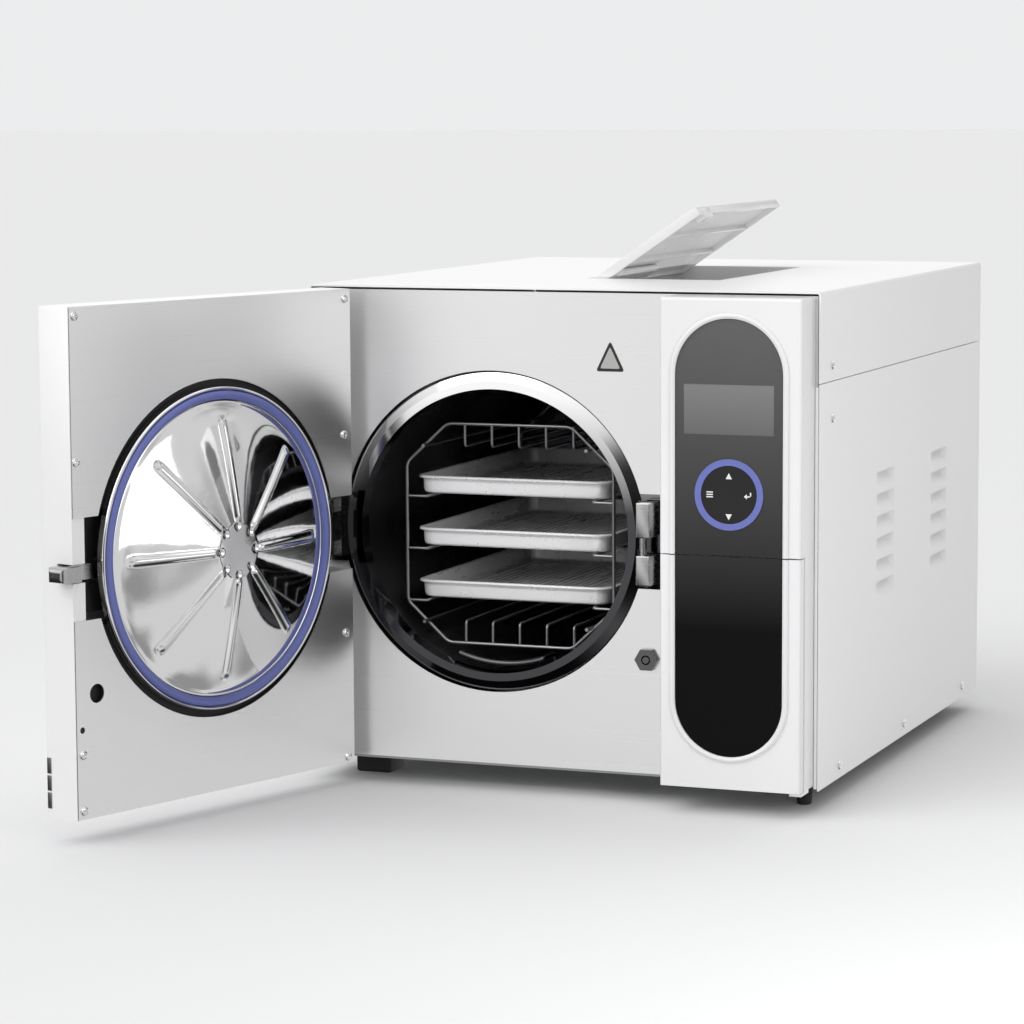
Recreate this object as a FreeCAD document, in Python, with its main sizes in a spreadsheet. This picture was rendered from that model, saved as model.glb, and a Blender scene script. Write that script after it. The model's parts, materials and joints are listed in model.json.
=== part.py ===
"""Benchtop steam autoclave, front loading, as one parametric FreeCAD document.

Every piece is drawn in the cabinet's own frame: X to the right from the left side panel,
Y backwards from the front panel's face, Z up from the bottom edge of the side panels.
Pieces of the door are drawn with the door shut, and the hatch lid is drawn shut, and each
piece's Placement then carries it into the model frame at the pose in which the machine
stands: door swung wide open, water hatch propped open, everything else at home.
"""
import FreeCAD
import Part
import Sketcher
import math
import os

V = FreeCAD.Vector
doc = FreeCAD.newDocument("Autoclave")

# ---------------------------------------------------------------- driving dimensions

DIMENSIONS = [
    # cabinet
    ("cab_width", 445.0, "outside width over the side panels"),
    ("cab_height", 402.0, "side panel bottom edge to the top of the cover"),
    ("cab_depth", 532.0, "front face to rear edge of the panels"),
    ("skin", 1.5, "thickness of the painted sheet"),
    ("seam_height", 328.6, "joint between side panels and top cover"),
    ("foot_height", 18.0, "ground to the side panel bottom edge"),
    ("front_sheet", 1.2, "thickness of the brushed front panel and door plate"),
    ("front_bottom", 5.2, "bottom edge of the front panel"),
    ("front_top", 398.8, "top edge of the front panel"),
    ("rear_face", 526.5, "outside face of the rear panel"),
    # pressure vessel
    ("axis_x", 164.2, "chamber axis from the left side"),
    ("axis_z", 199.5, "chamber axis above the side panel bottom edge"),
    ("bore_radius", 120.0, "inside radius of the chamber"),
    ("lip_radius", 118.5, "inside radius of the front flange"),
    ("flange_radius", 132.3, "outside radius of the front flange"),
    ("shell_wall", 2.5, "thickness of the chamber wall"),
    ("shell_length", 350.0, "front face to the start of the dished end"),
    ("ear_height", 72.0, "height of the flange ears that carry hinge and striker"),
    # door
    ("door_left", 5.0, "hinge edge of the shut door"),
    ("door_right", 321.5, "free edge of the shut door"),
    ("door_bottom", 2.5, "bottom edge of the door"),
    ("door_top", 400.0, "top edge of the door"),
    ("door_gap", 6.0, "front panel to the inner face of the shut door"),
    ("door_thick", 35.0, "door thickness"),
    ("door_skin", 1.5, "thickness of the door cover sheet"),
    ("door_flange", 13.0, "width of the cover's inward return flange"),
    ("hinge_x", 20.9, "door hinge axis from the left side"),
    ("hinge_depth", 26.0, "door hinge axis in front of the front panel"),
    ("door_open", 108.5, "angle at which the door stands open"),
    ("pan_radius", 130.0, "outside radius of the door disc"),
    ("pan_hole", 136.0, "radius of the round hole in the door plate"),
    ("hub_rise", 17.0, "how far the disc's hub stands behind the front panel plane"),
    # latch
    ("bolt_z", 194.8, "centre height of the latch bolt"),
    ("bolt_height", 12.2, "height of the latch bolt"),
    ("bolt_tip", 335.0, "end of the latch bolt with the door shut"),
    ("pin_x", 299.4, "striker pin centre from the left side"),
    ("pin_depth", 10.0, "striker pin centre in front of the front panel"),
    ("interlock_x", 299.5, "interlock pin centre from the left side"),
    ("interlock_z", 100.0, "interlock pin centre height"),
    # fascia
    ("fascia_left", 323.0, "left edge of the control fascia"),
    ("fascia_right", 440.8, "right edge of the control fascia"),
    ("fascia_bottom", 4.6, "bottom edge of the control fascia"),
    ("fascia_top", 398.6, "top edge of the control fascia"),
    ("fascia_depth", 38.0, "how far the fascia stands in front of the front panel"),
    ("fascia_base", 26.0, "depth of the fascia behind the service door"),
    ("fascia_wall", 2.5, "fascia wall thickness"),
    ("split_height", 193.0, "joint between display part and service door"),
    ("pill_x", 381.0, "centre line of the display window"),
    ("pill_radius", 45.0, "half width of the display window"),
    ("pill_top", 382.5, "top of the display window"),
    ("pill_bottom", 31.0, "bottom of the display window"),
    ("rim_width", 4.5, "width of the raised rim round the window"),
    ("nav_z", 242.3, "centre height of the navigation ring"),
    ("nav_outer", 28.5, "outside radius of the navigation ring"),
    ("nav_inner", 23.3, "inside radius of the navigation ring"),
    # water hatch
    ("hatch_left", 190.0, "left edge of the opening in the top cover"),
    ("hatch_right", 311.0, "right edge of the opening"),
    ("hatch_front", 157.0, "front edge of the opening"),
    ("hatch_back", 398.0, "rear edge of the opening"),
    ("hatch_wall", 2.8, "wall of the hatch frame"),
    ("lid_thick", 8.0, "thickness of the hatch lid"),
    ("lid_open", 34.0, "angle at which the hatch lid stands open"),
    # rack and trays
    ("rack_left", 70.0, "left side of the wire rack"),
    ("rack_right", 257.0, "right side of the wire rack"),
    ("rack_bottom", 97.0, "bottom of the wire rack"),
    ("rack_top", 285.0, "top of the wire rack"),
    ("rack_front", 38.0, "front frame of the rack behind the front panel"),
    ("rack_back", 306.0, "rear frame of the rack behind the front panel"),
    ("wire_radius", 1.5, "radius of the rack wire"),
    ("tray_left", 76.0, "left edge of a tray's rim"),
    ("tray_right", 252.0, "right edge of a tray's rim"),
    ("tray_front", 41.0, "front edge of a tray's rim"),
    ("tray_back", 301.0, "rear edge of a tray's rim"),
    ("tray_depth", 15.5, "height of a tray"),
    ("tray_sheet", 0.8, "thickness of the tray sheet"),
    ("tray_pitch", 44.4, "height from one tray to the next"),
    ("tray_top_z", 239.6, "rim height of the top tray"),
    # origin of the model frame in the cabinet frame
    ("origin_x", 179.0, "model origin from the left side"),
    ("origin_y", 107.0, "model origin behind the front panel"),
]


class Size:
    """A number together with the spreadsheet formula that gives it."""

    def __init__(self, value, formula):
        self.value = value
        self.formula = formula

    def __float__(self):
        return self.value

    def __neg__(self):
        return Size(-self.value, f"(-{self.formula})")

    def __add__(self, other):
        other = as_size(other)
        return Size(self.value + other.value, f"({self.formula} + {other.formula})")

    def __sub__(self, other):
        other = as_size(other)
        return Size(self.value - other.value, f"({self.formula} - {other.formula})")

    def __mul__(self, other):
        other = as_size(other)
        return Size(self.value * other.value, f"({self.formula} * {other.formula})")

    def __truediv__(self, other):
        other = as_size(other)
        return Size(self.value / other.value, f"({self.formula} / {other.formula})")

    def __radd__(self, other):
        return as_size(other) + self

    def __rsub__(self, other):
        return as_size(other) - self

    def __rmul__(self, other):
        return as_size(other) * self


def as_size(number):
    """Wrap a plain number, so that it can stand in a formula."""
    if isinstance(number, Size):
        return number
    return Size(float(number), f"({float(number)!r})")


class Dimensions:
    """The spreadsheet's cells, each as an attribute that is a Size."""

    def __init__(self, rows):
        self.sheet = doc.addObject("Spreadsheet::Sheet", "Dims")
        for line, (alias, value, meaning) in enumerate(rows, start=1):
            self.sheet.set(f"A{line}", str(value))
            self.sheet.setAlias(f"A{line}", alias)
            self.sheet.set(f"B{line}", meaning)
            setattr(self, alias, Size(value, f"Dims.{alias}"))


d = Dimensions(DIMENSIONS)
doc.recompute()

# small distances used all over the machine
FIT = 0.05          # radial play of a pin in its hole
GAP = 0.4           # clearance between pieces that move past each other
SCREW_SHANK = 1.5   # radius of the M3 cover screws
SCREW_HEAD = 3.6
HEAD_HEIGHT = 1.8

# ---------------------------------------------------------------- building helpers


def bind(obj, **sizes):
    """Set properties, through the spreadsheet where the value is a Size."""
    for name, size in sizes.items():
        if isinstance(size, Size):
            obj.setExpression(name, size.formula)
            setattr(obj, name, size.value)
        else:
            setattr(obj, name, size)


def place(obj, x, y, z, rotation=FreeCAD.Rotation()):
    """Put an object at a point, each coordinate bound where it is a Size."""
    obj.Placement = FreeCAD.Placement(V(float(x), float(y), float(z)), rotation)
    for letter, size in zip("xyz", (x, y, z)):
        if isinstance(size, Size):
            obj.setExpression(f"Placement.Base.{letter}", size.formula)


ALONG = {
    "X": FreeCAD.Rotation(V(0, 0, 1), V(1, 0, 0)),
    "Y": FreeCAD.Rotation(V(0, 0, 1), V(0, 1, 0)),
    "Z": FreeCAD.Rotation(),
}


def box(x0, x1, y0, y1, z0, z1):
    """A box between two opposite corners."""
    obj = doc.addObject("Part::Box", "Box")
    bind(obj, Length=x1 - x0, Width=y1 - y0, Height=z1 - z0)
    place(obj, x0, y0, z0)
    return obj


def cylinder(radius, x, y, z, length, axis="Z"):
    """A cylinder that starts at a point and runs along +axis."""
    obj = doc.addObject("Part::Cylinder", "Cylinder")
    bind(obj, Radius=radius, Height=length)
    place(obj, x, y, z, ALONG[axis])
    return obj


def ring(outer, inner, x, y, z, length, axis="Z"):
    """A plain tube along +axis."""
    hole = cylinder(inner, x, y, z, length, axis)
    return cut(cylinder(outer, x, y, z, length, axis), hole)


def cone(radius_1, radius_2, x, y, z, length, axis="Z"):
    """A cone frustum along +axis."""
    obj = doc.addObject("Part::Cone", "Cone")
    bind(obj, Radius1=radius_1, Radius2=radius_2, Height=length)
    place(obj, x, y, z, ALONG[axis])
    return obj


def hexagon(across_flats, x, y, z, length, axis="Z"):
    """A hexagonal prism along +axis."""
    obj = doc.addObject("Part::Prism", "Hexagon")
    bind(obj, Polygon=6, Circumradius=across_flats / math.sqrt(3), Height=length)
    place(obj, x, y, z, ALONG[axis])
    return obj


def rod(start, end, radius):
    """A round wire between two points."""
    a, b = (V(*[float(value) for value in point]) for point in (start, end))
    obj = doc.addObject("Part::Cylinder", "Rod")
    bind(obj, Radius=radius, Height=(b - a).Length)
    obj.Placement = FreeCAD.Placement(a, FreeCAD.Rotation(V(0, 0, 1), b - a))
    return obj


def ball(x, y, z, radius):
    obj = doc.addObject("Part::Sphere", "Ball")
    bind(obj, Radius=radius)
    place(obj, x, y, z)
    return obj


def fuse(*pieces):
    obj = doc.addObject("Part::MultiFuse", "Fuse")
    obj.Shapes = list(pieces)
    return obj


def group(*pieces):
    """Separate solids that share one node."""
    obj = doc.addObject("Part::Compound", "Group")
    obj.Links = list(pieces)
    return obj


def cut(base, *tools):
    obj = doc.addObject("Part::Cut", "Cut")
    obj.Base = base
    obj.Tool = tools[0] if len(tools) == 1 else fuse(*tools)
    return obj


def fillet(base, radius, chosen):
    """Round the edges that the test picks."""
    doc.recompute()
    edges = [n for n, edge in enumerate(base.Shape.Edges, start=1) if chosen(edge)]
    obj = doc.addObject("Part::Fillet", "Fillet")
    obj.Base = base
    obj.Edges = [(n, float(radius), float(radius)) for n in edges]
    return obj


def runs_along(edge, axis):
    """True for a straight edge that is parallel to an axis."""
    if edge.Curve.TypeId != "Part::GeomLine":
        return False
    direction = edge.tangentAt(edge.FirstParameter)
    return abs(abs(getattr(direction, axis.lower())) - 1) < 1e-6


def edge_at(edge, tolerance=0.01, **coordinates):
    """True where the edge's middle has the given coordinates."""
    middle = edge.CenterOfMass
    return all(abs(getattr(middle, key) - float(value)) < tolerance
               for key, value in coordinates.items())


# ---------------------------------------------------------------- PartDesign helpers


class Body:
    """A PartDesign body with short calls for its sketches and features."""

    def __init__(self, name):
        self.body = doc.addObject("PartDesign::Body", name)

    def sketch(self, plane, offset=0.0):
        """A sketch parallel to an origin plane: top (XY), front (XZ) or side (YZ)."""
        role, sign = {"top": ("XY_Plane", 1), "front": ("XZ_Plane", -1),
                      "side": ("YZ_Plane", 1)}[plane]
        support = next(f for f in self.body.Origin.OriginFeatures if f.Role == role)
        sketch = self.body.newObject("Sketcher::SketchObject", "Sketch")
        sketch.AttachmentSupport = (support, [""])
        sketch.MapMode = "FlatFace"
        depth = as_size(offset) * sign
        sketch.AttachmentOffset = FreeCAD.Placement(V(0, 0, float(depth)), FreeCAD.Rotation())
        sketch.setExpression("AttachmentOffset.Base.z", depth.formula)
        return sketch

    def add(self, kind, sketch, **settings):
        feature = self.body.newObject(f"PartDesign::{kind}", kind)
        feature.Profile = sketch
        bind(feature, **settings)
        sketch.Visibility = False
        self.body.Tip = feature
        return feature

    def pad(self, sketch, length, backwards=False):
        return self.add("Pad", sketch, Length=length, Reversed=backwards)

    def pocket(self, sketch, depth, backwards=False):
        """Cut away, and make sure that something was cut."""
        doc.recompute()
        before = self.body.Shape.Volume
        feature = self.add("Pocket", sketch, Length=depth, Reversed=backwards)
        doc.recompute()
        if self.body.Shape.Volume > before - 0.01:
            raise RuntimeError(f"pocket in {self.body.Name} cuts nothing")
        return feature

    def revolve(self, sketch):
        """Turn a half section about the sketch's own vertical axis."""
        feature = self.add("Revolution", sketch, Angle=360.0)
        feature.ReferenceAxis = (sketch, ["V_Axis"])
        return feature

    def repeat(self, feature, axis_role, length, count):
        """Repeat a feature in a row along an origin axis."""
        pattern = self.body.newObject("PartDesign::LinearPattern", "Row")
        axis = next(f for f in self.body.Origin.OriginFeatures if f.Role == axis_role)
        pattern.Originals = [feature]
        pattern.Direction = (axis, [""])
        bind(pattern, Length=length, Occurrences=count)
        self.body.Tip = pattern
        return pattern

    def soften(self, radius, chosen):
        """Fillet the edges that the test picks."""
        doc.recompute()
        tip = self.body.Tip
        edges = [f"Edge{n}" for n, edge in enumerate(tip.Shape.Edges, start=1) if chosen(edge)]
        feature = self.body.newObject("PartDesign::Fillet", "Fillet")
        feature.Base = (tip, edges)
        bind(feature, Radius=radius)
        self.body.Tip = feature
        return feature


def hold(sketch, geometry, point, x, y):
    """Fix a sketch point by its distances from the two sketch axes."""
    for kind, axis, value in (("DistanceX", -2, x), ("DistanceY", -1, y)):
        size = as_size(value)
        if abs(size.value) < 1e-9:
            sketch.addConstraint(Sketcher.Constraint("PointOnObject", geometry, point, axis))
            continue
        index = sketch.addConstraint(
            Sketcher.Constraint(kind, -1, 1, geometry, point, size.value))
        bind_constraint(sketch, index, size)


def bind_constraint(sketch, index, size):
    """Name a constraint and bind it to the sheet."""
    name = f"size{index}"
    sketch.renameConstraint(index, name)
    sketch.setExpression(f"Constraints.{name}", size.formula)


def polygon(sketch, points):
    """A closed outline of straight lines."""
    corners = [V(float(x), float(y), 0) for x, y in points]
    count = len(corners)
    lines = [sketch.addGeometry(Part.LineSegment(corners[i], corners[(i + 1) % count]), False)
             for i in range(count)]
    for i in range(count):
        following = lines[(i + 1) % count]
        sketch.addConstraint(Sketcher.Constraint("Coincident", lines[i], 2, following, 1))
    for line, (x, y) in zip(lines, points):
        hold(sketch, line, 1, x, y)


def rectangle(sketch, x0, x1, y0, y1):
    polygon(sketch, [(x0, y0), (x1, y0), (x1, y1), (x0, y1)])


def circle(sketch, x, y, radius):
    centre = V(float(x), float(y), 0)
    geometry = sketch.addGeometry(Part.Circle(centre, V(0, 0, 1), float(radius)), False)
    hold(sketch, geometry, 3, x, y)
    index = sketch.addConstraint(Sketcher.Constraint("Radius", geometry, float(radius)))
    bind_constraint(sketch, index, as_size(radius))


def arch(sketch, x, y_flat, y_round, radius):
    """A window with one flat end and one half-round end, symmetric about x."""
    upwards = float(y_round) > float(y_flat)
    y_centre = y_round - radius if upwards else y_round + radius
    left, right = float(x - radius), float(x + radius)
    centre = V(float(x), float(y_centre), 0)
    first, last = (0, math.pi) if upwards else (math.pi, 2 * math.pi)
    arc = sketch.addGeometry(
        Part.ArcOfCircle(Part.Circle(centre, V(0, 0, 1), float(radius)), first, last), False)
    start_x, end_x = (right, left) if upwards else (left, right)
    flat = float(y_flat)
    corners = [V(end_x, float(y_centre), 0), V(end_x, flat, 0), V(start_x, flat, 0),
               V(start_x, float(y_centre), 0)]
    lines = [sketch.addGeometry(Part.LineSegment(corners[i], corners[i + 1]), False)
             for i in range(3)]
    add = sketch.addConstraint
    add(Sketcher.Constraint("Tangent", arc, 2, lines[0], 1))
    add(Sketcher.Constraint("Coincident", lines[0], 2, lines[1], 1))
    add(Sketcher.Constraint("Coincident", lines[1], 2, lines[2], 1))
    add(Sketcher.Constraint("Tangent", lines[2], 2, arc, 1))
    add(Sketcher.Constraint("Horizontal", lines[1]))
    add(Sketcher.Constraint("Vertical", lines[0]))
    hold(sketch, arc, 3, x, y_centre)
    bind_constraint(sketch, add(Sketcher.Constraint("Radius", arc, float(radius))),
                    as_size(radius))
    bind_constraint(sketch, add(Sketcher.Constraint("DistanceY", -1, 1, lines[1], 1, flat)),
                    as_size(y_flat))


# ---------------------------------------------------------------- frames and nodes

CABINET = FreeCAD.Placement(
    V(-float(d.origin_x), -float(d.origin_y), float(d.foot_height)), FreeCAD.Rotation())


def swung(point, axis, degrees):
    """The cabinet frame turned about a line through a point."""
    turn = FreeCAD.Placement(V(), FreeCAD.Rotation(axis, degrees), V(*map(float, point)))
    return CABINET.multiply(turn)


DOOR = swung((d.hinge_x, -d.hinge_depth, 0), V(0, 0, 1), -float(d.door_open))
LID_PIVOT_X = d.hatch_left + d.hatch_wall + 0.5 + 2.4
LID_PIVOT_Z = d.cab_height - 2.6
HATCH = swung((LID_PIVOT_X, 0, LID_PIVOT_Z), V(0, 1, 0), -float(d.lid_open))

PRIMITIVES = ("Part::Box", "Part::Cylinder", "Part::Cone", "Part::Sphere", "Part::Prism",
              "Part::Torus")
nodes = {}


def publish(label, piece, frame=CABINET, at=(0, 0, 0)):
    """Name a finished sub-part and put it in the model frame."""
    if isinstance(piece, Body):
        piece = piece.body
    if piece.TypeId in PRIMITIVES:
        piece = group(piece)
    piece.Label = label
    offset = FreeCAD.Placement(V(*map(float, at)), FreeCAD.Rotation())
    piece.Placement = frame.multiply(offset)
    nodes[label] = piece


def screw(x, y, z, axis, outwards, length=6.0):
    """A pan-head screw whose head lies on the surface at the point."""

    def moved(distance):
        """The point, shifted along the screw's axis."""
        return [p + distance if axis == letter else p
                for letter, p in zip("XYZ", (x, y, z))]

    head_start = moved(0.0) if outwards > 0 else moved(-HEAD_HEIGHT)
    shank_start = moved(-length) if outwards > 0 else moved(0.0)
    head = cylinder(SCREW_HEAD, *head_start, HEAD_HEIGHT, axis)
    shank = cylinder(SCREW_SHANK, *shank_start, length, axis)
    return fuse(head, shank)


# ---------------------------------------------------------------- cabinet shell

SIDE_SCREWS = [(35.0, 299.0), (60.0, 11.0), (265.0, 11.0), (474.0, 11.0)]
COVER_SCREWS = [(34.0, 342.0)]
CHASSIS_RIM = 28.0
LOUVRE_ROWS = 6
LOUVRE_PITCH = 18.7
LOUVRE_HEIGHT = 15.0
LOUVRE_LOWEST = 132.5
LOUVRE_COLUMNS = [(171.5, 228.0), (352.6, 408.5)]
LOUVRE_INWARD = 6.0
FAN_X = 374.0
FAN_Z = 165.0
FAN_BORE = 44.0
INLET = {"left": 40.0, "right": 120.0, "bottom": 58.0, "top": 92.0}
SPOUT = {"x": 250.0, "z": 45.0, "radius": 4.0, "tip": 545.0}
BAY = {"left": 339.0, "right": 427.0, "bottom": 29.0, "top": 185.0, "back": 88.0}


def base_chassis():
    """The folded floor tray that carries everything."""
    edge = d.skin + 0.5
    outer = box(edge, d.cab_width - edge, 1.6, d.rear_face - d.skin, 3.0, CHASSIS_RIM)
    inner = box(edge + d.skin, d.cab_width - edge - d.skin, 1.6 + d.skin,
                d.rear_face - d.skin * 2, 3.0 + d.skin, CHASSIS_RIM + 1.0)
    holes = [cylinder(SCREW_SHANK, 0.0, y, z, d.cab_width, "X")
             for y, z in SIDE_SCREWS if z < CHASSIS_RIM]
    publish("base_chassis", cut(outer, inner, *holes))


def top_cover():
    """The painted cover: top and both shoulders folded from one sheet, with the hatch hole."""
    cover = Body("top_cover")
    low = d.seam_height + 0.6
    outline = cover.sketch("front", 0.0)
    polygon(outline, [
        (0.0, low), (d.skin, low), (d.skin, d.cab_height - d.skin),
        (d.cab_width - d.skin, d.cab_height - d.skin), (d.cab_width - d.skin, low),
        (d.cab_width, low), (d.cab_width, d.cab_height), (0.0, d.cab_height)])
    cover.pad(outline, d.cab_depth, backwards=True)
    for height, radius in ((d.cab_height, 3.0), (d.cab_height - d.skin, 1.5)):
        cover.soften(radius, lambda e: runs_along(e, "Y") and edge_at(e, z=height))
    hatch = cover.sketch("top", d.cab_height)
    rectangle(hatch, d.hatch_left, d.hatch_right, d.hatch_front, d.hatch_back)
    cover.pocket(hatch, d.skin)
    holes = cover.sketch("side", d.cab_width)
    for y, z in COVER_SCREWS:
        circle(holes, y, z, SCREW_SHANK)
    cover.pocket(holes, d.cab_width)
    publish("top_cover", cover)


def left_side_panel():
    panel = Body("left_side_panel")
    outline = panel.sketch("side", 0.0)
    rectangle(outline, 0.0, d.cab_depth, 0.0, d.seam_height)
    for y, z in SIDE_SCREWS:
        circle(outline, y, z, SCREW_SHANK)
    panel.pad(outline, d.skin)
    publish("left_side_panel", panel)


def right_side_panel():
    """The right panel, with two columns of louvres pressed inwards."""
    panel = Body("right_side_panel")
    outline = panel.sketch("side", d.cab_width - d.skin)
    rectangle(outline, 0.0, d.cab_depth, 0.0, d.seam_height)
    for y, z in SIDE_SCREWS:
        circle(outline, y, z, SCREW_SHANK)
    panel.pad(outline, d.skin)
    face = d.cab_width
    top = LOUVRE_LOWEST + LOUVRE_HEIGHT
    for front, back in LOUVRE_COLUMNS:
        slot = panel.sketch("side", face)
        rectangle(slot, front, back, LOUVRE_LOWEST, top)
        opening = panel.pocket(slot, d.skin)
        panel.repeat(opening, "Z_Axis", LOUVRE_PITCH * (LOUVRE_ROWS - 1), LOUVRE_ROWS)
        vane = panel.sketch("front", front)
        polygon(vane, [(face, LOUVRE_LOWEST), (face - LOUVRE_INWARD, top - 2.0),
                       (face - LOUVRE_INWARD - d.skin, top - 2.0),
                       (face - d.skin, LOUVRE_LOWEST)])
        blade = panel.pad(vane, back - front, backwards=True)
        panel.repeat(blade, "Z_Axis", LOUVRE_PITCH * (LOUVRE_ROWS - 1), LOUVRE_ROWS)
    publish("right_side_panel", panel)


def front_panel():
    """The brushed panel with holes for vessel, hinge, striker, interlock and service bay."""
    panel = Body("front_panel")
    outline = panel.sketch("front", d.front_sheet)
    edge = d.skin + 0.5
    rectangle(outline, edge, d.cab_width - edge, d.front_bottom, d.front_top)
    circle(outline, d.axis_x, d.axis_z, d.flange_radius + 1.7)
    circle(outline, d.interlock_x, d.interlock_z, 6.0)
    rectangle(outline, BAY["left"] - 2.0, BAY["right"] + 2.0, BAY["bottom"] - 2.0,
              BAY["top"] + 2.0)
    rectangle(outline, 345.0, 417.0, 230.0, 350.0)
    panel.pad(outline, d.front_sheet)
    for x0, x1, z0, z1 in ((10.0, 34.0, 170.0, 229.0), (286.0, 311.0, 158.0, 236.0)):
        slot = panel.sketch("front", 0.0)
        rectangle(slot, x0, x1, z0, z1)
        panel.pocket(slot, d.front_sheet)
    publish("front_panel", panel)


def rear_panel():
    face = d.rear_face
    sheet = box(3.0, d.cab_width - 3.0, face - d.skin, face, 30.0, d.front_top)
    start = face - d.skin - 1.0
    through = d.skin + 2.0
    holes = [
        cylinder(FAN_BORE - 1.0, FAN_X, start, FAN_Z, through, "Y"),
        cylinder(SPOUT["radius"], SPOUT["x"], start, SPOUT["z"], through, "Y"),
        box(INLET["left"], INLET["right"], start, start + through, INLET["bottom"],
            INLET["top"]),
    ]
    publish("rear_panel", cut(sheet, *holes))


def case_screws():
    """The cover screws of both sides, heads outside."""
    pieces = []
    for y, z in SIDE_SCREWS + COVER_SCREWS:
        pieces.append(screw(d.cab_width, y, z, "X", 1))
        pieces.append(screw(0.0, y, z, "X", -1))
    publish("case_screws", group(*pieces))


def feet():
    """A wide block at the front left, and three round feet."""
    block = Body("FrontBlock")
    outline = block.sketch("top", 3.0)
    rectangle(outline, 21.0, 53.0, 40.0, 72.0)
    pad = block.pad(outline, d.foot_height + 3.0, backwards=True)
    pad.TaperAngle = -6.0
    stubs = [cone(6.0, 8.0, x, y, -d.foot_height, d.foot_height + 3.0)
             for x, y in ((423.0, 35.0), (45.0, 480.0), (400.0, 480.0))]
    publish("feet", group(block.body, *stubs))


# ---------------------------------------------------------------- pressure vessel


def vessel_flange():
    """The polished front ring, and the ears behind the panel that take the door's load."""
    flange = Body("vessel_flange")
    ears = flange.sketch("front", 14.0)
    rectangle(ears, 8.0 - d.axis_x, 320.0 - d.axis_x, -d.ear_height / 2, d.ear_height / 2)
    flange.pad(ears, 10.0)
    section = flange.sketch("top", 0.0)
    polygon(section, [(d.lip_radius, 0.7), (d.lip_radius + 6.5, 0.7), (d.flange_radius, 3.0),
                      (d.flange_radius, 16.0), (d.lip_radius, 16.0)])
    flange.revolve(section)
    bore = flange.sketch("front", 17.0)
    circle(bore, 0.0, 0.0, d.lip_radius)
    flange.pocket(bore, 17.0, backwards=True)
    publish("vessel_flange", flange, at=(d.axis_x, 0.0, d.axis_z))


def vessel_shell():
    """The chamber: a plain cylinder closed by a dished end."""
    shell = Body("vessel_shell")
    depth_of_dish = 38.0
    steps = 6

    def dish(radius, extra):
        """Points of an ellipse from the cylinder to the axis."""
        points = []
        for i in range(steps + 1):
            angle = math.pi / 2 * i / steps
            points.append((radius * math.cos(angle),
                           d.shell_length + (depth_of_dish + extra) * math.sin(angle)))
        points[-1] = (0.0, d.shell_length + depth_of_dish + extra)
        return points

    inner = dish(d.bore_radius, 0.0)
    outer = dish(d.bore_radius + d.shell_wall, d.shell_wall)
    section = shell.sketch("top", 0.0)
    polygon(section, [(d.bore_radius, 16.0)] + inner + outer[::-1]
            + [(d.bore_radius + d.shell_wall, 16.0)])
    shell.revolve(section)
    publish("vessel_shell", shell, at=(d.axis_x, 0.0, d.axis_z))


SAFETY_Y = 300.0


def vessel_insulation():
    """A felt blanket round the chamber, with a hole for the safety valve."""
    blanket = ring(d.bore_radius + 16.0, d.bore_radius + 5.0, d.axis_x, 20.0, d.axis_z, 325.0,
                   "Y")
    neck = cylinder(8.0, d.axis_x, SAFETY_Y, d.axis_z + 60.0, 100.0)
    publish("vessel_insulation", cut(blanket, neck))


def band_heaters():
    bands = [ring(d.bore_radius + 4.8, d.bore_radius + 2.6, d.axis_x, y, d.axis_z, 50.0, "Y")
             for y in (70.0, 190.0)]
    publish("band_heaters", group(*bands))


def safety_valve():
    """A brass valve on the chamber's crown."""
    crown = d.axis_z + d.bore_radius + d.shell_wall
    neck = cylinder(6.0, d.axis_x, SAFETY_Y, crown + 0.1, 20.0)
    barrel = hexagon(22.0, d.axis_x, SAFETY_Y, crown + 18.0, 14.0)
    spring_case = cylinder(9.0, d.axis_x, SAFETY_Y, crown + 30.0, 24.0)
    lever = box(d.axis_x - 3.0, d.axis_x + 3.0, SAFETY_Y - 4.0, SAFETY_Y + 22.0, crown + 54.0,
                crown + 57.0)
    publish("safety_valve", fuse(neck, barrel, spring_case, lever))


PROBE = {"radius": 2.5, "from_lip": 5.0, "y": 23.0, "start": 250.0, "sweep": 38.0,
         "tail": 26.0, "anchor": 119.8}


def temperature_probe():
    """A bent tube in the gap under the rack, just inside the lip, anchored to the wall."""
    radius, along = PROBE["radius"], PROBE["y"]
    reach = d.lip_radius - PROBE["from_lip"]
    first = math.radians(PROBE["start"])
    last = math.radians(PROBE["start"] + PROBE["sweep"])
    axis_x = V(math.cos(first), 0, math.sin(first))
    axis_y = V(-math.sin(first), 0, math.cos(first))
    arc = doc.addObject("Part::Torus", "Probe")
    bind(arc, Radius1=reach, Radius2=radius, Angle3=PROBE["sweep"])
    arc.Placement = FreeCAD.Placement(
        V(float(d.axis_x), along, float(d.axis_z)),
        FreeCAD.Rotation(axis_x, axis_y, axis_x.cross(axis_y), "ZXY"))

    def on_wall(angle, distance, y):
        """A point at an angle and distance from the chamber's axis."""
        return (float(d.axis_x) + distance * math.cos(angle), y,
                float(d.axis_z) + distance * math.sin(angle))

    tip = on_wall(first, float(reach), along)
    bend = on_wall(last, float(reach), along)
    end = on_wall(last, float(reach), along + PROBE["tail"])
    anchor = on_wall(last, PROBE["anchor"], along + PROBE["tail"])
    publish("temperature_probe", fuse(
        arc, ball(*tip, radius), ball(*bend, radius), rod(bend, end, radius),
        ball(*end, radius), rod(end, anchor, radius)))


# ---------------------------------------------------------------- hinge, striker, interlock

LUGS = ((176.0, 187.0), (212.0, 223.0))
HINGE_PIN = 5.0
BLOCKS = ((162.7, 187.4), (201.8, 230.6))
BLOCK_LEFT = 295.6
BLOCK_RIGHT = 307.8
STRIKER_PIN = 3.0


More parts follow.
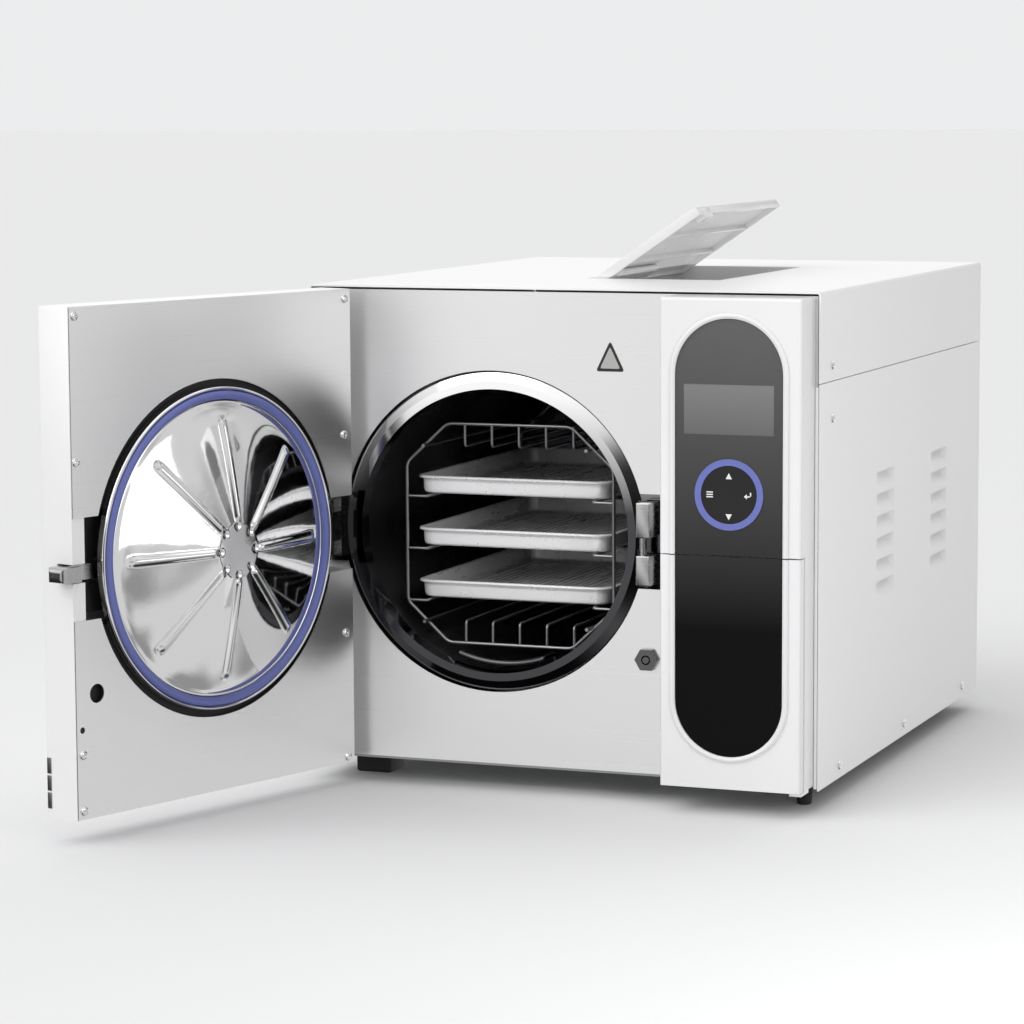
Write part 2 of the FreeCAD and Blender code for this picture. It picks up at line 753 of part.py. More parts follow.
def hinge_bracket():
    """Two lugs on a foot that is bolted to the flange ear."""
    foot = box(12.0, 29.0, -4.0, 4.0, 174.0, 225.0)
    pieces = [foot]
    for z0, z1 in LUGS:
        pieces.append(box(d.hinge_x - 4.5, d.hinge_x + 4.5, -d.hinge_depth, -3.0, z0, z1))
        pieces.append(cylinder(8.0, d.hinge_x, -d.hinge_depth, z0, z1 - z0))
    hole = cylinder(HINGE_PIN, d.hinge_x, -d.hinge_depth, 170.0, 60.0)
    publish("hinge_bracket", cut(fuse(*pieces), hole))
    publish("hinge_pin", cylinder(HINGE_PIN, d.hinge_x, -d.hinge_depth, 173.0, 53.0))


def door_striker():
    """Two steel blocks on the flange ear, with the pin that the latch bolt hooks."""
    pin_low = BLOCKS[0][1] - 8.0
    pin_length = BLOCKS[1][0] + 8.0 - pin_low
    solids = []
    for z0, z1 in BLOCKS:
        block = box(BLOCK_LEFT, BLOCK_RIGHT, -18.0, 4.0, z0, z1)
        hole = cylinder(STRIKER_PIN, d.pin_x, -d.pin_depth, pin_low, pin_length)
        flange_seat = cylinder(d.flange_radius + 0.1, d.axis_x, 0.5, d.axis_z, 5.0, "Y")
        solids.append(cut(block, hole, flange_seat))
    pin = cylinder(STRIKER_PIN, d.pin_x, -d.pin_depth, pin_low, pin_length)
    publish("door_striker", group(*solids, pin))


INTERLOCK_PIN = 3.9
INTERLOCK_TIP = 5.0


def interlock():
    """The lock that holds the shut door under pressure: a barrel with its nut, and the pin."""
    x, z = d.interlock_x, d.interlock_z
    nut = hexagon(17.0, x, -4.5, z, 4.5, "Y")
    barrel = cylinder(5.9, x, -0.5, z, 16.0, "Y")
    coil = cylinder(11.0, x, 15.0, z, 34.0, "Y")
    bore = cylinder(INTERLOCK_PIN + FIT, x, -6.0, z, 46.0, "Y")
    publish("interlock_housing", cut(fuse(nut, barrel, coil), bore))
    tip = cone(INTERLOCK_PIN - 1.2, INTERLOCK_PIN, x, -INTERLOCK_TIP, z, 1.6, "Y")
    stem = cylinder(INTERLOCK_PIN, x, -INTERLOCK_TIP + 1.6, z, 38.0, "Y")
    publish("interlock_pin", fuse(tip, stem))


# ---------------------------------------------------------------- control fascia

SERVICE_RADIUS = 4.0
RIM_HEIGHT = 1.2
SEAM_HALF = 0.5
FASCIA_BACK = 0.2
HINGE_PEG = 1.5
LATCH_WINDOW = {"front": -24.5, "back": -1.5, "bottom": 186.0, "top": 203.5}
LCD = {"left": 343.0, "right": 418.0, "bottom": 290.0, "top": 330.0}
WINDOW_FRONT = 37.6
WINDOW_BACK = 35.5


def service_axis():
    """Where the service door's hinge pegs stand."""
    return d.fascia_right - SERVICE_RADIUS, -(d.fascia_base + GAP + SERVICE_RADIUS)


def fascia_frame():
    """The moulded fascia: a full-height base, and in front of it the display part."""
    fascia = Body("fascia_frame")
    left, right = d.fascia_left, d.fascia_right
    wall = d.fascia_wall
    split = d.split_height + SEAM_HALF
    base = fascia.sketch("front", -FASCIA_BACK)
    rectangle(base, left, right, d.fascia_bottom, d.fascia_top)
    fascia.pad(base, d.fascia_base - FASCIA_BACK)
    upper = fascia.sketch("front", -d.fascia_base)
    rectangle(upper, left, right, split, d.fascia_top)
    fascia.pad(upper, d.fascia_depth - d.fascia_base)
    fascia.soften(2.5, lambda e: edge_at(e, z=d.fascia_top) and runs_along(e, "X")
                  and edge_at(e, y=-d.fascia_depth))
    fascia.soften(2.0, lambda e: runs_along(e, "Z") and edge_at(e, y=-d.fascia_depth))
    rim = fascia.sketch("front", -d.fascia_depth)
    arch(rim, d.pill_x, split, d.pill_top + d.rim_width, d.pill_radius + d.rim_width)
    fascia.pad(rim, RIM_HEIGHT)
    rooms = ((FASCIA_BACK, d.fascia_bottom, d.fascia_base - wall),
             (d.fascia_base - wall, split, d.fascia_depth - wall))
    for start, bottom, end in rooms:
        room = fascia.sketch("front", -as_size(start))
        rectangle(room, left + wall, right - wall, bottom + wall, d.fascia_top - wall)
        fascia.pocket(room, end - start, backwards=True)
    window = fascia.sketch("front", -(d.fascia_depth + RIM_HEIGHT))
    arch(window, d.pill_x, split - 1.0, d.pill_top, d.pill_radius)
    fascia.pocket(window, wall + RIM_HEIGHT)
    bay = fascia.sketch("front", -d.fascia_base)
    rectangle(bay, BAY["left"] + 2.0, BAY["right"] - 2.0, BAY["bottom"] + 2.0,
              BAY["top"] - 2.0)
    fascia.pocket(bay, wall)
    latch = fascia.sketch("side", left)
    rectangle(latch, LATCH_WINDOW["front"], LATCH_WINDOW["back"], LATCH_WINDOW["bottom"],
              LATCH_WINDOW["top"])
    fascia.pocket(latch, wall, backwards=True)
    peg_x, peg_y = service_axis()
    lug = fascia.sketch("top", 1.8)
    rectangle(lug, right - 10.0, right, peg_y - 4.0, -14.0)
    fascia.pad(lug, d.fascia_bottom - GAP - 1.8)
    web = fascia.sketch("top", d.fascia_bottom - GAP)
    rectangle(web, right - 10.0, right, -d.fascia_base + 0.2, -14.0)
    fascia.pad(web, GAP + 0.5)
    for level, depth in ((split + wall, wall), (d.fascia_bottom - GAP, 3.0)):
        hole = fascia.sketch("top", level)
        circle(hole, peg_x, peg_y, HINGE_PEG)
        fascia.pocket(hole, depth)
    publish("fascia_frame", fascia)


def service_hinge_pins():
    x, y = service_axis()
    split = d.split_height + SEAM_HALF
    low = cylinder(HINGE_PEG, x, y, 1.8, 7.0)
    high = cylinder(HINGE_PEG, x, y, split - 6.0, d.fascia_wall + 6.0)
    publish("service_hinge_pins", group(low, high))


def service_door():
    """The lower half of the fascia front, hinged at its right edge."""
    door = Body("service_door")
    left, right, wall = d.fascia_left, d.fascia_right, d.fascia_wall
    back = d.fascia_base + GAP
    top = d.split_height - SEAM_HALF
    outline = door.sketch("front", -back)
    rectangle(outline, left, right, d.fascia_bottom, top)
    door.pad(outline, d.fascia_depth - back)
    door.soften(SERVICE_RADIUS, lambda e: runs_along(e, "Z") and edge_at(e, x=right, y=-back))
    door.soften(2.0, lambda e: runs_along(e, "Z") and edge_at(e, y=-d.fascia_depth))
    rim = door.sketch("front", -d.fascia_depth)
    arch(rim, d.pill_x, top, d.pill_bottom - d.rim_width, d.pill_radius + d.rim_width)
    door.pad(rim, RIM_HEIGHT)
    room = door.sketch("front", -back)
    rectangle(room, left + wall, right - wall, d.fascia_bottom + wall, top - wall)
    door.pocket(room, d.fascia_depth - wall - back, backwards=True)
    window = door.sketch("front", -(d.fascia_depth + RIM_HEIGHT))
    arch(window, d.pill_x, top + 1.0, d.pill_bottom, d.pill_radius)
    door.pocket(window, wall + RIM_HEIGHT)
    holes = door.sketch("top", top + 1.0)
    circle(holes, *service_axis(), HINGE_PEG + FIT)
    door.pocket(holes, top + 1.0)
    publish("service_door", door)


def windows():
    """The glossy black panes, the upper one with openings for the screen and the keypad."""
    thickness = WINDOW_FRONT - WINDOW_BACK
    upper = Body("display_window")
    pane = upper.sketch("front", -WINDOW_BACK)
    arch(pane, d.pill_x, d.split_height + SEAM_HALF, d.pill_top, d.pill_radius)
    circle(pane, d.pill_x, d.nav_z, d.nav_outer)
    rectangle(pane, LCD["left"], LCD["right"], LCD["bottom"], LCD["top"])
    upper.pad(pane, thickness)
    publish("display_window", upper)
    lower = Body("service_window")
    pane = lower.sketch("front", -WINDOW_BACK)
    arch(pane, d.pill_x, d.split_height - SEAM_HALF, d.pill_bottom, d.pill_radius)
    lower.pad(pane, thickness)
    publish("service_window", lower)


def controls():
    """Screen, keypad ring, keypad and the circuit board behind them."""
    screen = box(LCD["left"], LCD["right"], -WINDOW_FRONT + 0.3, -30.0, LCD["bottom"],
                 LCD["top"])
    publish("lcd_module", screen)
    publish("nav_ring", ring(d.nav_outer, d.nav_inner, d.pill_x, -38.3, d.nav_z, 4.3, "Y"))
    cap = cylinder(d.nav_inner - 0.3, d.pill_x, -38.0, d.nav_z, 3.5, "Y")
    plunger = cylinder(4.0, d.pill_x, -35.0, d.nav_z, 9.0, "Y")
    publish("nav_pad", fuse(cap, plunger))
    board = box(331.0, 431.0, -20.0, -18.4, 206.0, 380.0)
    chips = [box(x, x + w, -23.0, -20.0, z, z + h)
             for x, z, w, h in ((345.0, 300.0, 22.0, 22.0), (390.0, 330.0, 12.0, 26.0),
                                (345.0, 345.0, 30.0, 14.0), (400.0, 215.0, 16.0, 10.0))]
    posts = [cylinder(3.0, x, -18.5, z, 18.5, "Y") for x in (336.0, 426.0)
             for z in (211.0, 375.0)]
    publish("control_board", fuse(board, *chips, *posts))


def service_bay():
    """The pocket behind the service door, with drain couplings and the air filter."""
    left, right, bottom, top = BAY["left"], BAY["right"], BAY["bottom"], BAY["top"]
    back = BAY["back"]
    front = -(d.fascia_base - d.fascia_wall)
    shell = cut(box(left, right, front, back, bottom, top),
                box(left + 2.0, right - 2.0, front - 1.0, back - 2.0, bottom + 2.0, top - 2.0))
    publish("service_bay", shell)
    couplings = []
    for x in (362.0, 404.0):
        stem = cylinder(7.0, x, 44.0, 62.0, back - 46.0, "Y")
        collar = cylinder(10.0, x, 52.0, 62.0, 14.0, "Y")
        flat = hexagon(19.0, x, 76.0, 62.0, 8.0, "Y")
        bore = cylinder(4.0, x, 43.0, 62.0, 30.0, "Y")
        couplings.append(cut(fuse(stem, collar, flat), bore))
    publish("drain_couplings", group(*couplings))
    drum = cylinder(30.0, 383.0, 44.0, 138.0, 30.0, "Y")
    cap = cylinder(32.0, 383.0, 52.0, 138.0, 6.0, "Y")
    neck = cylinder(7.0, 383.0, 74.0, 138.0, back - 76.0, "Y")
    publish("air_filter", fuse(drum, cap, neck))


# ---------------------------------------------------------------- water hatch

LID_CLEARANCE = 0.5
LID_PEG = 1.2
PEG_REACH = 6.0
TANK_TOP = 388.0


def hatch_frame():
    """The bezel in the cover's opening."""
    left, right = d.hatch_left + 0.2, d.hatch_right - 0.2
    front, back = d.hatch_front + 0.2, d.hatch_back - 0.2
    wall = d.hatch_wall
    outer = box(left, right, front, back, TANK_TOP, d.cab_height - 0.4)
    inner = box(left + wall, right - wall, front + wall, back - wall, TANK_TOP - 1.0,
                d.cab_height + 1.0)
    peg_holes = cylinder(LID_PEG, LID_PIVOT_X, front - 1.0, LID_PIVOT_Z, back - front + 2.0,
                         "Y")
    publish("hatch_frame", cut(outer, inner, peg_holes))
    pegs = [cylinder(LID_PEG, LID_PIVOT_X, start, LID_PIVOT_Z, wall + PEG_REACH, "Y")
            for start in (front, back - wall - PEG_REACH)]
    publish("hatch_hinge_pins", group(*pegs))


def hatch_lid():
    """A shallow lid with two stiffening ribs below, hinged at its left edge."""
    lid = Body("hatch_lid")
    gap = d.hatch_wall + LID_CLEARANCE + 0.2
    left = d.hatch_left + d.hatch_wall + LID_CLEARANCE
    right = d.hatch_right - gap
    front, back = d.hatch_front + gap, d.hatch_back - gap
    top = d.cab_height - 0.2
    bottom = top - d.lid_thick
    skin = 2.4
    outline = lid.sketch("top", bottom)
    rectangle(outline, left, right, front, back)
    lid.pad(outline, d.lid_thick)
    lid.soften(2.4, lambda e: runs_along(e, "Y") and edge_at(e, x=left, z=top))
    third = (right - left) / 3
    for n in range(3):
        room = lid.sketch("top", bottom)
        x0 = left + third * n + (PEG_REACH - 1.0 if n == 0 else 1.2)
        x1 = left + third * (n + 1) - (skin if n == 2 else 1.2)
        rectangle(room, x0, x1, front + skin, back - skin)
        lid.pocket(room, d.lid_thick - skin, backwards=True)
    holes = lid.sketch("front", front - 1.0)
    circle(holes, LID_PIVOT_X, LID_PIVOT_Z, LID_PEG + FIT)
    lid.pocket(holes, back - front + 2.0)
    publish("hatch_lid", lid, HATCH)


def water_tank():
    """A shallow tank below the hatch that deepens into a sump beside the vessel."""
    wall = 2.5

    def room(shrink):
        low = 345.0 + shrink
        shallow = box(190.0 + shrink, 330.0 - shrink, 150.0 + shrink, 405.0 - shrink, low,
                      TANK_TOP - shrink)
        sump = box(306.0 + shrink, 430.0 - shrink, 150.0 + shrink, 405.0 - shrink,
                   236.0 + shrink, TANK_TOP - shrink)
        return fuse(shallow, sump)

    gap = d.hatch_wall + 2.0
    mouth = box(d.hatch_left + gap, d.hatch_right - gap, d.hatch_front + gap,
                d.hatch_back - gap, TANK_TOP - wall - 1.0, TANK_TOP + 1.0)
    publish("water_tank", cut(room(0.0), room(wall), mouth))


# ---------------------------------------------------------------- machinery


def steam_generator():
    x, y = 372.0, 150.0
    drum = cylinder(42.0, x, y, 12.0, 166.0)
    collar = cylinder(48.0, x, y, 150.0, 8.0)
    base = cylinder(46.0, x, y, 4.5, 8.0)
    plug = hexagon(24.0, x, y, 178.0, 14.0)
    publish("steam_generator", fuse(drum, collar, base, plug))


def pumps():
    """The vacuum pump and the small feed-water pump."""
    motor = cylinder(32.0, 366.0, 214.0, 44.0, 90.0, "Y")
    head = box(336.0, 396.0, 300.0, 340.0, 14.0, 92.0)
    shoe = box(340.0, 392.0, 222.0, 336.0, 4.5, 16.0)
    port = cylinder(5.0, 366.0, 320.0, 90.0, 16.0)
    publish("vacuum_pump", fuse(motor, head, shoe, port))
    body = cylinder(17.0, 360.0, 352.0, 26.0, 56.0, "Y")
    block = box(343.0, 377.0, 396.0, 414.0, 9.0, 43.0)
    shoe = box(346.0, 374.0, 360.0, 410.0, 4.5, 12.0)
    publish("water_pump", fuse(body, block, shoe))


def condenser():
    """A finned tube block in front of the fan."""
    fins = [box(318.0 + 8.0 * n, 319.6 + 8.0 * n, 432.0, 476.0, 108.0, 222.0)
            for n in range(14)]
    tubes = [cylinder(4.0, 316.0, y, z, 110.0, "X") for y in (443.0, 465.0)
             for z in (124.0, 151.0, 178.0, 205.0)]
    publish("condenser", fuse(*fins, *tubes))


def fan():
    """The cooling fan: frame with its spider, rotor, and the wire guard outside."""
    back = d.rear_face - d.skin
    depth = 25.0
    half = 46.0
    front = back - depth
    frame = cut(box(FAN_X - half, FAN_X + half, front, back, FAN_Z - half, FAN_Z + half),
                cylinder(FAN_BORE, FAN_X, front - 1.0, FAN_Z, depth + 2.0, "Y"))
    arms = [box(FAN_X - half + 1.0, FAN_X + half - 1.0, front, front + 3.0, FAN_Z - 2.5,
                FAN_Z + 2.5),
            box(FAN_X - 2.5, FAN_X + 2.5, front, front + 3.0, FAN_Z - half + 1.0,
                FAN_Z + half - 1.0)]
    disc = cylinder(18.0, FAN_X, front, FAN_Z, 3.0, "Y")
    shaft = cylinder(2.5, FAN_X, front, FAN_Z, 18.0, "Y")
    publish("fan_housing", fuse(frame, *arms, disc, shaft))
    hub = cylinder(17.5, FAN_X, front + 3.6, FAN_Z, 18.0, "Y")
    blades = []
    for n in range(7):
        blade = doc.addObject("Part::Box", "Blade")
        bind(blade, Length=27.0, Width=1.8, Height=16.0)
        lean = FreeCAD.Rotation(V(1, 0, 0), 38.0)
        turn = FreeCAD.Rotation(V(0, 1, 0), 360.0 / 7 * n)
        centre = FreeCAD.Placement(
            V(FAN_X, float(front) + 12.6, FAN_Z), turn.multiply(lean))
        blade.Placement = centre.multiply(FreeCAD.Placement(V(15.5, -0.9, -8.0),
                                                            FreeCAD.Rotation()))
        blades.append(blade)
    bore = cylinder(2.5 + FIT, FAN_X, front + 3.0, FAN_Z, 15.4, "Y")
    publish("fan_rotor", cut(fuse(hub, *blades), bore))
    wires = []
    for radius in (14.0, 24.0, 34.0, 44.0):
        wire = doc.addObject("Part::Torus", "Wire")
        bind(wire, Radius1=radius, Radius2=0.9)
        place(wire, FAN_X, d.rear_face + 1.5, FAN_Z, ALONG["Y"])
        wires.append(wire)
    for n in range(4):
        angle = math.radians(45 + 90 * n)
        reach = [FAN_X + 58.0 * math.cos(angle), FAN_Z + 58.0 * math.sin(angle)]
        inner = [FAN_X + 13.0 * math.cos(angle), FAN_Z + 13.0 * math.sin(angle)]
        height = float(d.rear_face) + 1.2
        wires.append(rod((inner[0], height, inner[1]), (reach[0], height, reach[1]), 1.0))
        wires.append(cylinder(4.0, reach[0], d.rear_face, reach[1], 2.0, "Y"))
    publish("fan_guard", fuse(*wires))


def valves_and_supply():
    """Four solenoid valves and the power supply, on the floor behind the vessel."""
    valves = []
    for n in range(4):
        x = 52.0 + 42.0 * n
        block = box(x - 13.0, x + 13.0, 428.0, 456.0, 4.5, 30.0)
        coil = box(x - 12.0, x + 12.0, 430.0, 454.0, 30.0, 64.0)
        stem = cylinder(6.0, x, 442.0, 64.0, 8.0)
        port = cylinder(4.0, x, 418.0, 17.0, 48.0, "Y")
        valves.append(fuse(block, coil, stem, port))
    publish("solenoid_valves", group(*valves))
    case = box(150.0, 292.0, 468.0, 512.0, 62.0, 150.0)
    legs = [box(x, x + 12.0, 470.0, 510.0, 4.5, 62.0) for x in (150.0, 280.0)]
    publish("power_supply", fuse(case, *legs))


SWITCH = {"x": 106.0, "z": 75.0, "radius": 10.0, "half": 8.0}
ROCKER_TILT = 12.0      # the rocker's face leans by this at either end of its travel
ROCKER_FACE = 6.5       # its flat face in front of the pivot


def mains_inlet():
    """A combined inlet socket and switch frame, and the rocker in it."""
    left, right, bottom, top = INLET["left"], INLET["right"], INLET["bottom"], INLET["top"]
    face = d.rear_face
    housing = box(left, right, 498.0, face, bottom, top)
    flange = box(left - 5.0, right + 5.0, face, face + 2.0, bottom - 5.0, top + 5.0)
    cavity = box(50.0, 76.0, 508.0, face + 3.0, 66.0, 84.0)
    middle = as_size(face) - 6.0
    x, z, radius = SWITCH["x"], SWITCH["z"], SWITCH["radius"]
    cradle = cylinder(radius + GAP, x - SWITCH["half"] - GAP, middle, z,
                      2 * (SWITCH["half"] + GAP), "X")
    mouth = box(x - SWITCH["half"] - GAP, x + SWITCH["half"] + GAP, middle, face + 3.0,
                z - radius - GAP, z + radius + GAP)
    peg_hole = cylinder(1.5 + FIT, x - SWITCH["half"] - 3.0, middle, z,
                        2 * SWITCH["half"] + 6.0, "X")
    pins = [box(px - 1.0, px + 1.0, 500.0, 520.0, pz - 2.0, pz + 2.0)
            for px, pz in ((56.0, 73.0), (63.0, 78.0), (70.0, 73.0))]
    body = cut(fuse(housing, flange), cavity, cradle, mouth, peg_hole)
    publish("mains_inlet", fuse(body, *pins))
    drum = cylinder(radius, x - SWITCH["half"], middle, z, 2 * SWITCH["half"], "X")
    shaft = cylinder(1.5, x - SWITCH["half"] - 2.5, middle, z, 2 * SWITCH["half"] + 5.0, "X")
    dip = doc.addObject("Part::Box", "Dip")
    bind(dip, Length=40.0, Width=20.0, Height=40.0)
    lean = FreeCAD.Placement(V(x, float(middle), z), FreeCAD.Rotation(V(1, 0, 0), ROCKER_TILT))
    dip.Placement = lean.multiply(FreeCAD.Placement(V(-20.0, ROCKER_FACE, -20.0),
                                                    FreeCAD.Rotation()))
    publish("power_switch", fuse(cut(drum, dip), shaft))


def drain_spout():
    x, z = SPOUT["x"], SPOUT["z"]
    start = 504.0
    tube = cylinder(SPOUT["radius"], x, start, z, SPOUT["tip"] - start, "Y")
    nut = hexagon(14.0, x, d.rear_face, z, 5.0, "Y")
    publish("drain_spout", fuse(tube, nut))


# ---------------------------------------------------------------- rack and trays

RACK_CHAMFER = (34.0, 30.0)
STUB = 18.5
STUB_PITCH = 24.3
RAIL_RADIUS = 1.3


def rack():
    """A welded wire rack: two octagons joined by skids and by the rails that carry trays."""
    left, right = float(d.rack_left) + 1.5, float(d.rack_right)
    bottom, top = float(d.rack_bottom) + 2.0, float(d.rack_top)
    front, back = float(d.rack_front), float(d.rack_back)
    cut_x, cut_z = RACK_CHAMFER
    corners = [(left + cut_x, bottom), (right - cut_x, bottom), (right, bottom + cut_z),
               (right, top - cut_z), (right - cut_x, top), (left + cut_x, top),
               (left, top - cut_z), (left, bottom + cut_z)]
    pieces = []
    for y in (front, back):
        for n, (x, z) in enumerate(corners):
            x2, z2 = corners[(n + 1) % len(corners)]
            pieces.append(rod((x, y, z), (x2, y, z2), d.wire_radius))
            pieces.append(ball(x, y, z, d.wire_radius))
    centre_x, centre_z = float(d.axis_x), float(d.axis_z)
    for n in (1, 3, 5, 7):
        (x1, z1), (x2, z2) = corners[n], corners[(n + 1) % len(corners)]
        x, z = (x1 + x2) / 2, (z1 + z2) / 2
        inward = math.hypot(x - centre_x, z - centre_z)
        x -= 2.0 * (x - centre_x) / inward
        z -= 2.0 * (z - centre_z) / inward
        pieces.append(rod((x, front - 12.0, z), (x, back + 4.0, z), d.wire_radius))
        pieces.append(ball(x, front - 12.0, z, d.wire_radius))

    def rail(x, z, root_x, root_z):
        """A rail along the rack with a stub to the frame at each end."""
        pieces.append(rod((x, front, z), (x, back, z), RAIL_RADIUS))
        for y in (front, back):
            pieces.append(rod((root_x, y, root_z), (x, y, z), RAIL_RADIUS))
            pieces.append(ball(x, y, z, RAIL_RADIUS))

    for level in range(3):
        z = float(d.tray_top_z - d.tray_pitch * level - d.tray_depth) - RAIL_RADIUS - 0.3
        rail(left + STUB, z, left, z)
        rail(right - STUB, z, right, z)
    for n in range(5):
        x = (left + right) / 2 + STUB_PITCH * (n - 2) + 9.0
        rail(x, bottom + STUB, x, bottom)
        rail(x, top - STUB, x, top)
    publish("rack", fuse(*pieces))


TRAY_RIM = 4.0
TRAY_CORNER = 12.0
HOLES_ACROSS = 5
HOLES_ALONG = 8


def rounded_box(x0, x1, y0, y1, z0, height, radius):
    """A box with rounded upright edges."""
    base = box(x0, x1, y0, y1, z0, z0 + height)
    return fillet(base, radius, lambda e: runs_along(e, "Z"))


def tray(label, level):
    """A shallow perforated tray with a flat rim."""
    top = d.tray_top_z - d.tray_pitch * level
    bottom = top - d.tray_depth
    x0, x1 = d.tray_left + TRAY_RIM, d.tray_right - TRAY_RIM
    y0, y1 = d.tray_front + TRAY_RIM, d.tray_back - TRAY_RIM
    sheet = d.tray_sheet
    pan = rounded_box(x0, x1, y0, y1, bottom, d.tray_depth, TRAY_CORNER)
    rim = rounded_box(d.tray_left, d.tray_right, d.tray_front, d.tray_back, top - 1.2,
                      as_size(1.2), TRAY_CORNER + TRAY_RIM)
    room = rounded_box(x0 + sheet, x1 - sheet, y0 + sheet, y1 - sheet, bottom + sheet,
                       d.tray_depth, TRAY_CORNER - d.tray_sheet.value)
    step_x = (x1 - x0) / (HOLES_ACROSS + 1)
    step_y = (y1 - y0) / (HOLES_ALONG + 1)
    holes = [cylinder(6.0, x0 + step_x * i, y0 + step_y * j, bottom - 1.0, 4.0)
             for i in range(1, HOLES_ACROSS + 1) for j in range(1, HOLES_ALONG + 1)]
    publish(label, cut(fuse(pan, rim), room, group(*holes)))


# ---------------------------------------------------------------- door

DOOR_SCREWS = [(316.0, 393.0), (317.0, 281.0), (315.0, 53.5), (315.0, 9.5), (12.0, 392.0),
               (14.0, 279.0), (14.0, 113.0), (13.0, 7.6)]
HINGE_NOTCH = (166.0, 228.0)
LATCH_NOTCH = (158.0, 238.0)
CUP = {"left": 250.0, "right": 306.0, "bottom": 70.0, "top": 150.0, "depth": 14.0}
BEAM_FRONT = 22.0
BEAM_BACK = 36.0
BEAM_HALF = 38.0
BOLT_BACK = 13.4
BOLT_FRONT = 21.6
BOLT_START = 242.0
LATCH_TRAVEL = 19.0     # from the parked bolt to the hook behind the striker pin
HOOK = {"left": 315.4, "right": 322.4, "back": 6.8, "inner": 3.4}
GRIP = {"left": 284.0, "right": 289.0, "stub_right": 292.0, "foot": (100.0, 120.0)}
STUD = 8.0
KNUCKLE = (187.4, 211.6)


def door_cover():
    """The painted door pan with its return flange, notches and pressed handle cup."""
    cover = Body("door_cover")
    plate_back = d.door_gap + d.front_sheet
    outer = d.door_gap + d.door_thick
    left, right, low, high = d.door_left, d.door_right, d.door_bottom, d.door_top
    skin = d.door_skin
    outline = cover.sketch("front", -plate_back)
    rectangle(outline, left, right, low, high)
    cover.pad(outline, outer - plate_back)
    cover.soften(2.0, lambda e: edge_at(e, y=-outer))
    flange = d.door_flange
    opening = cover.sketch("front", -plate_back)
    rectangle(opening, left + flange, right - flange, low + flange, high - flange)
    cover.pocket(opening, outer - skin - plate_back, backwards=True)
    inside = cover.sketch("front", -(plate_back + skin))
    rectangle(inside, left + skin, right - skin, low + skin, high - skin)
    cover.pocket(inside, outer - skin * 2 - plate_back, backwards=True)
    hinge = cover.sketch("front", -plate_back)
    rectangle(hinge, left - 1.0, left + flange + 2.0, *HINGE_NOTCH)
    cover.pocket(hinge, outer - skin - plate_back, backwards=True)
    latch = cover.sketch("front", -plate_back)
    rectangle(latch, right - flange - 1.0, right + 1.0, d.bolt_z - d.bolt_height / 2 - 1.3,
              d.bolt_z + d.bolt_height / 2 + 1.3)
    cover.pocket(latch, 17.0, backwards=True)
    depth = CUP["depth"]
    cup = cover.sketch("front", -(outer - depth - skin))
    rectangle(cup, CUP["left"] - skin, CUP["right"] + skin, CUP["bottom"] - skin,
              CUP["top"] + skin)
    cover.pad(cup, depth)
    hollow = cover.sketch("front", -outer)
    rectangle(hollow, CUP["left"], CUP["right"], CUP["bottom"], CUP["top"])
    cover.pocket(hollow, depth)
    slot = cover.sketch("front", -(outer - depth))
    rectangle(slot, GRIP["left"] - LATCH_TRAVEL - 2.0, GRIP["stub_right"] + 2.0,
              GRIP["foot"][0] - 2.0, GRIP["foot"][1] + 2.0)
    cover.pocket(slot, skin + 0.5)
    holes = cover.sketch("front", -(plate_back + skin))
    for x, z in DOOR_SCREWS:
        circle(holes, x, z, SCREW_SHANK)
    cover.pocket(holes, skin + 0.5)
    publish("door_cover", cover, DOOR)


def door_plates():
    """The brushed inner plate, which hinge and latch notches part into two."""
    back, face = -(d.door_gap + d.front_sheet), -d.door_gap
    left, right = d.door_left + 0.3, d.door_right - 0.3
    sheet = box(left, right, back, face, d.door_bottom + 0.4, d.door_top - 0.4)
    start = back - 1.0
    through = 4.0
    holes = [cylinder(SCREW_SHANK, x, start, z, through, "Y") for x, z in DOOR_SCREWS]
    holes += [
        cylinder(d.pan_hole, d.axis_x, start, d.axis_z, through, "Y"),
        cylinder(7.5, d.interlock_x, start, d.interlock_z, through, "Y"),
        cylinder(2.5, 315.4, start, 73.0, through, "Y"),
        box(left - 1.0, 42.0, start, start + through, *HINGE_NOTCH),
        box(285.0, right + 1.0, start, start + through, *LATCH_NOTCH),
    ]
    publish("door_plates", cut(sheet, *holes), DOOR)


def door_screws():
    screws = [screw(x, -d.door_gap, z, "Y", 1) for x, z in DOOR_SCREWS]
    publish("door_screws", group(*screws), DOOR)


def door_beam():
    """The steel bar across the door that carries disc, hinge knuckle and latch guides."""
    low, high = d.axis_z - BEAM_HALF, d.axis_z + BEAM_HALF
    bar = box(36.0, 304.0, -BEAM_BACK, -BEAM_FRONT, low, high)
    neck = box(d.hinge_x, 40.0, -31.0, -BEAM_FRONT, *KNUCKLE)
    barrel = cylinder(8.6, d.hinge_x, -d.hinge_depth, KNUCKLE[0], KNUCKLE[1] - KNUCKLE[0])
    bore = cylinder(HINGE_PIN + FIT, d.hinge_x, -d.hinge_depth, 180.0, 40.0)
    stud_hole = cylinder(STUD, d.axis_x, -BEAM_BACK - 1.0, d.axis_z, 20.0, "Y")
    bolt_low = d.bolt_z - d.bolt_height / 2
    bolt_high = d.bolt_z + d.bolt_height / 2
    guides = [box(262.0, 288.0, -BEAM_FRONT, -12.6, z0, z0 + 3.0)
              for z0 in (bolt_low - 3.3, bolt_high + 0.3)]
    publish("door_beam", cut(fuse(bar, neck, barrel, *guides), bore, stud_hole), DOOR)


DISC_EDGE = 116.0
HUB_RADIUS = 22.0
DISC_SHEET = 2.0
RIB_RADIUS = 4.7
RIB_SINK = 1.8
GROOVE = (119.3, 128.6)


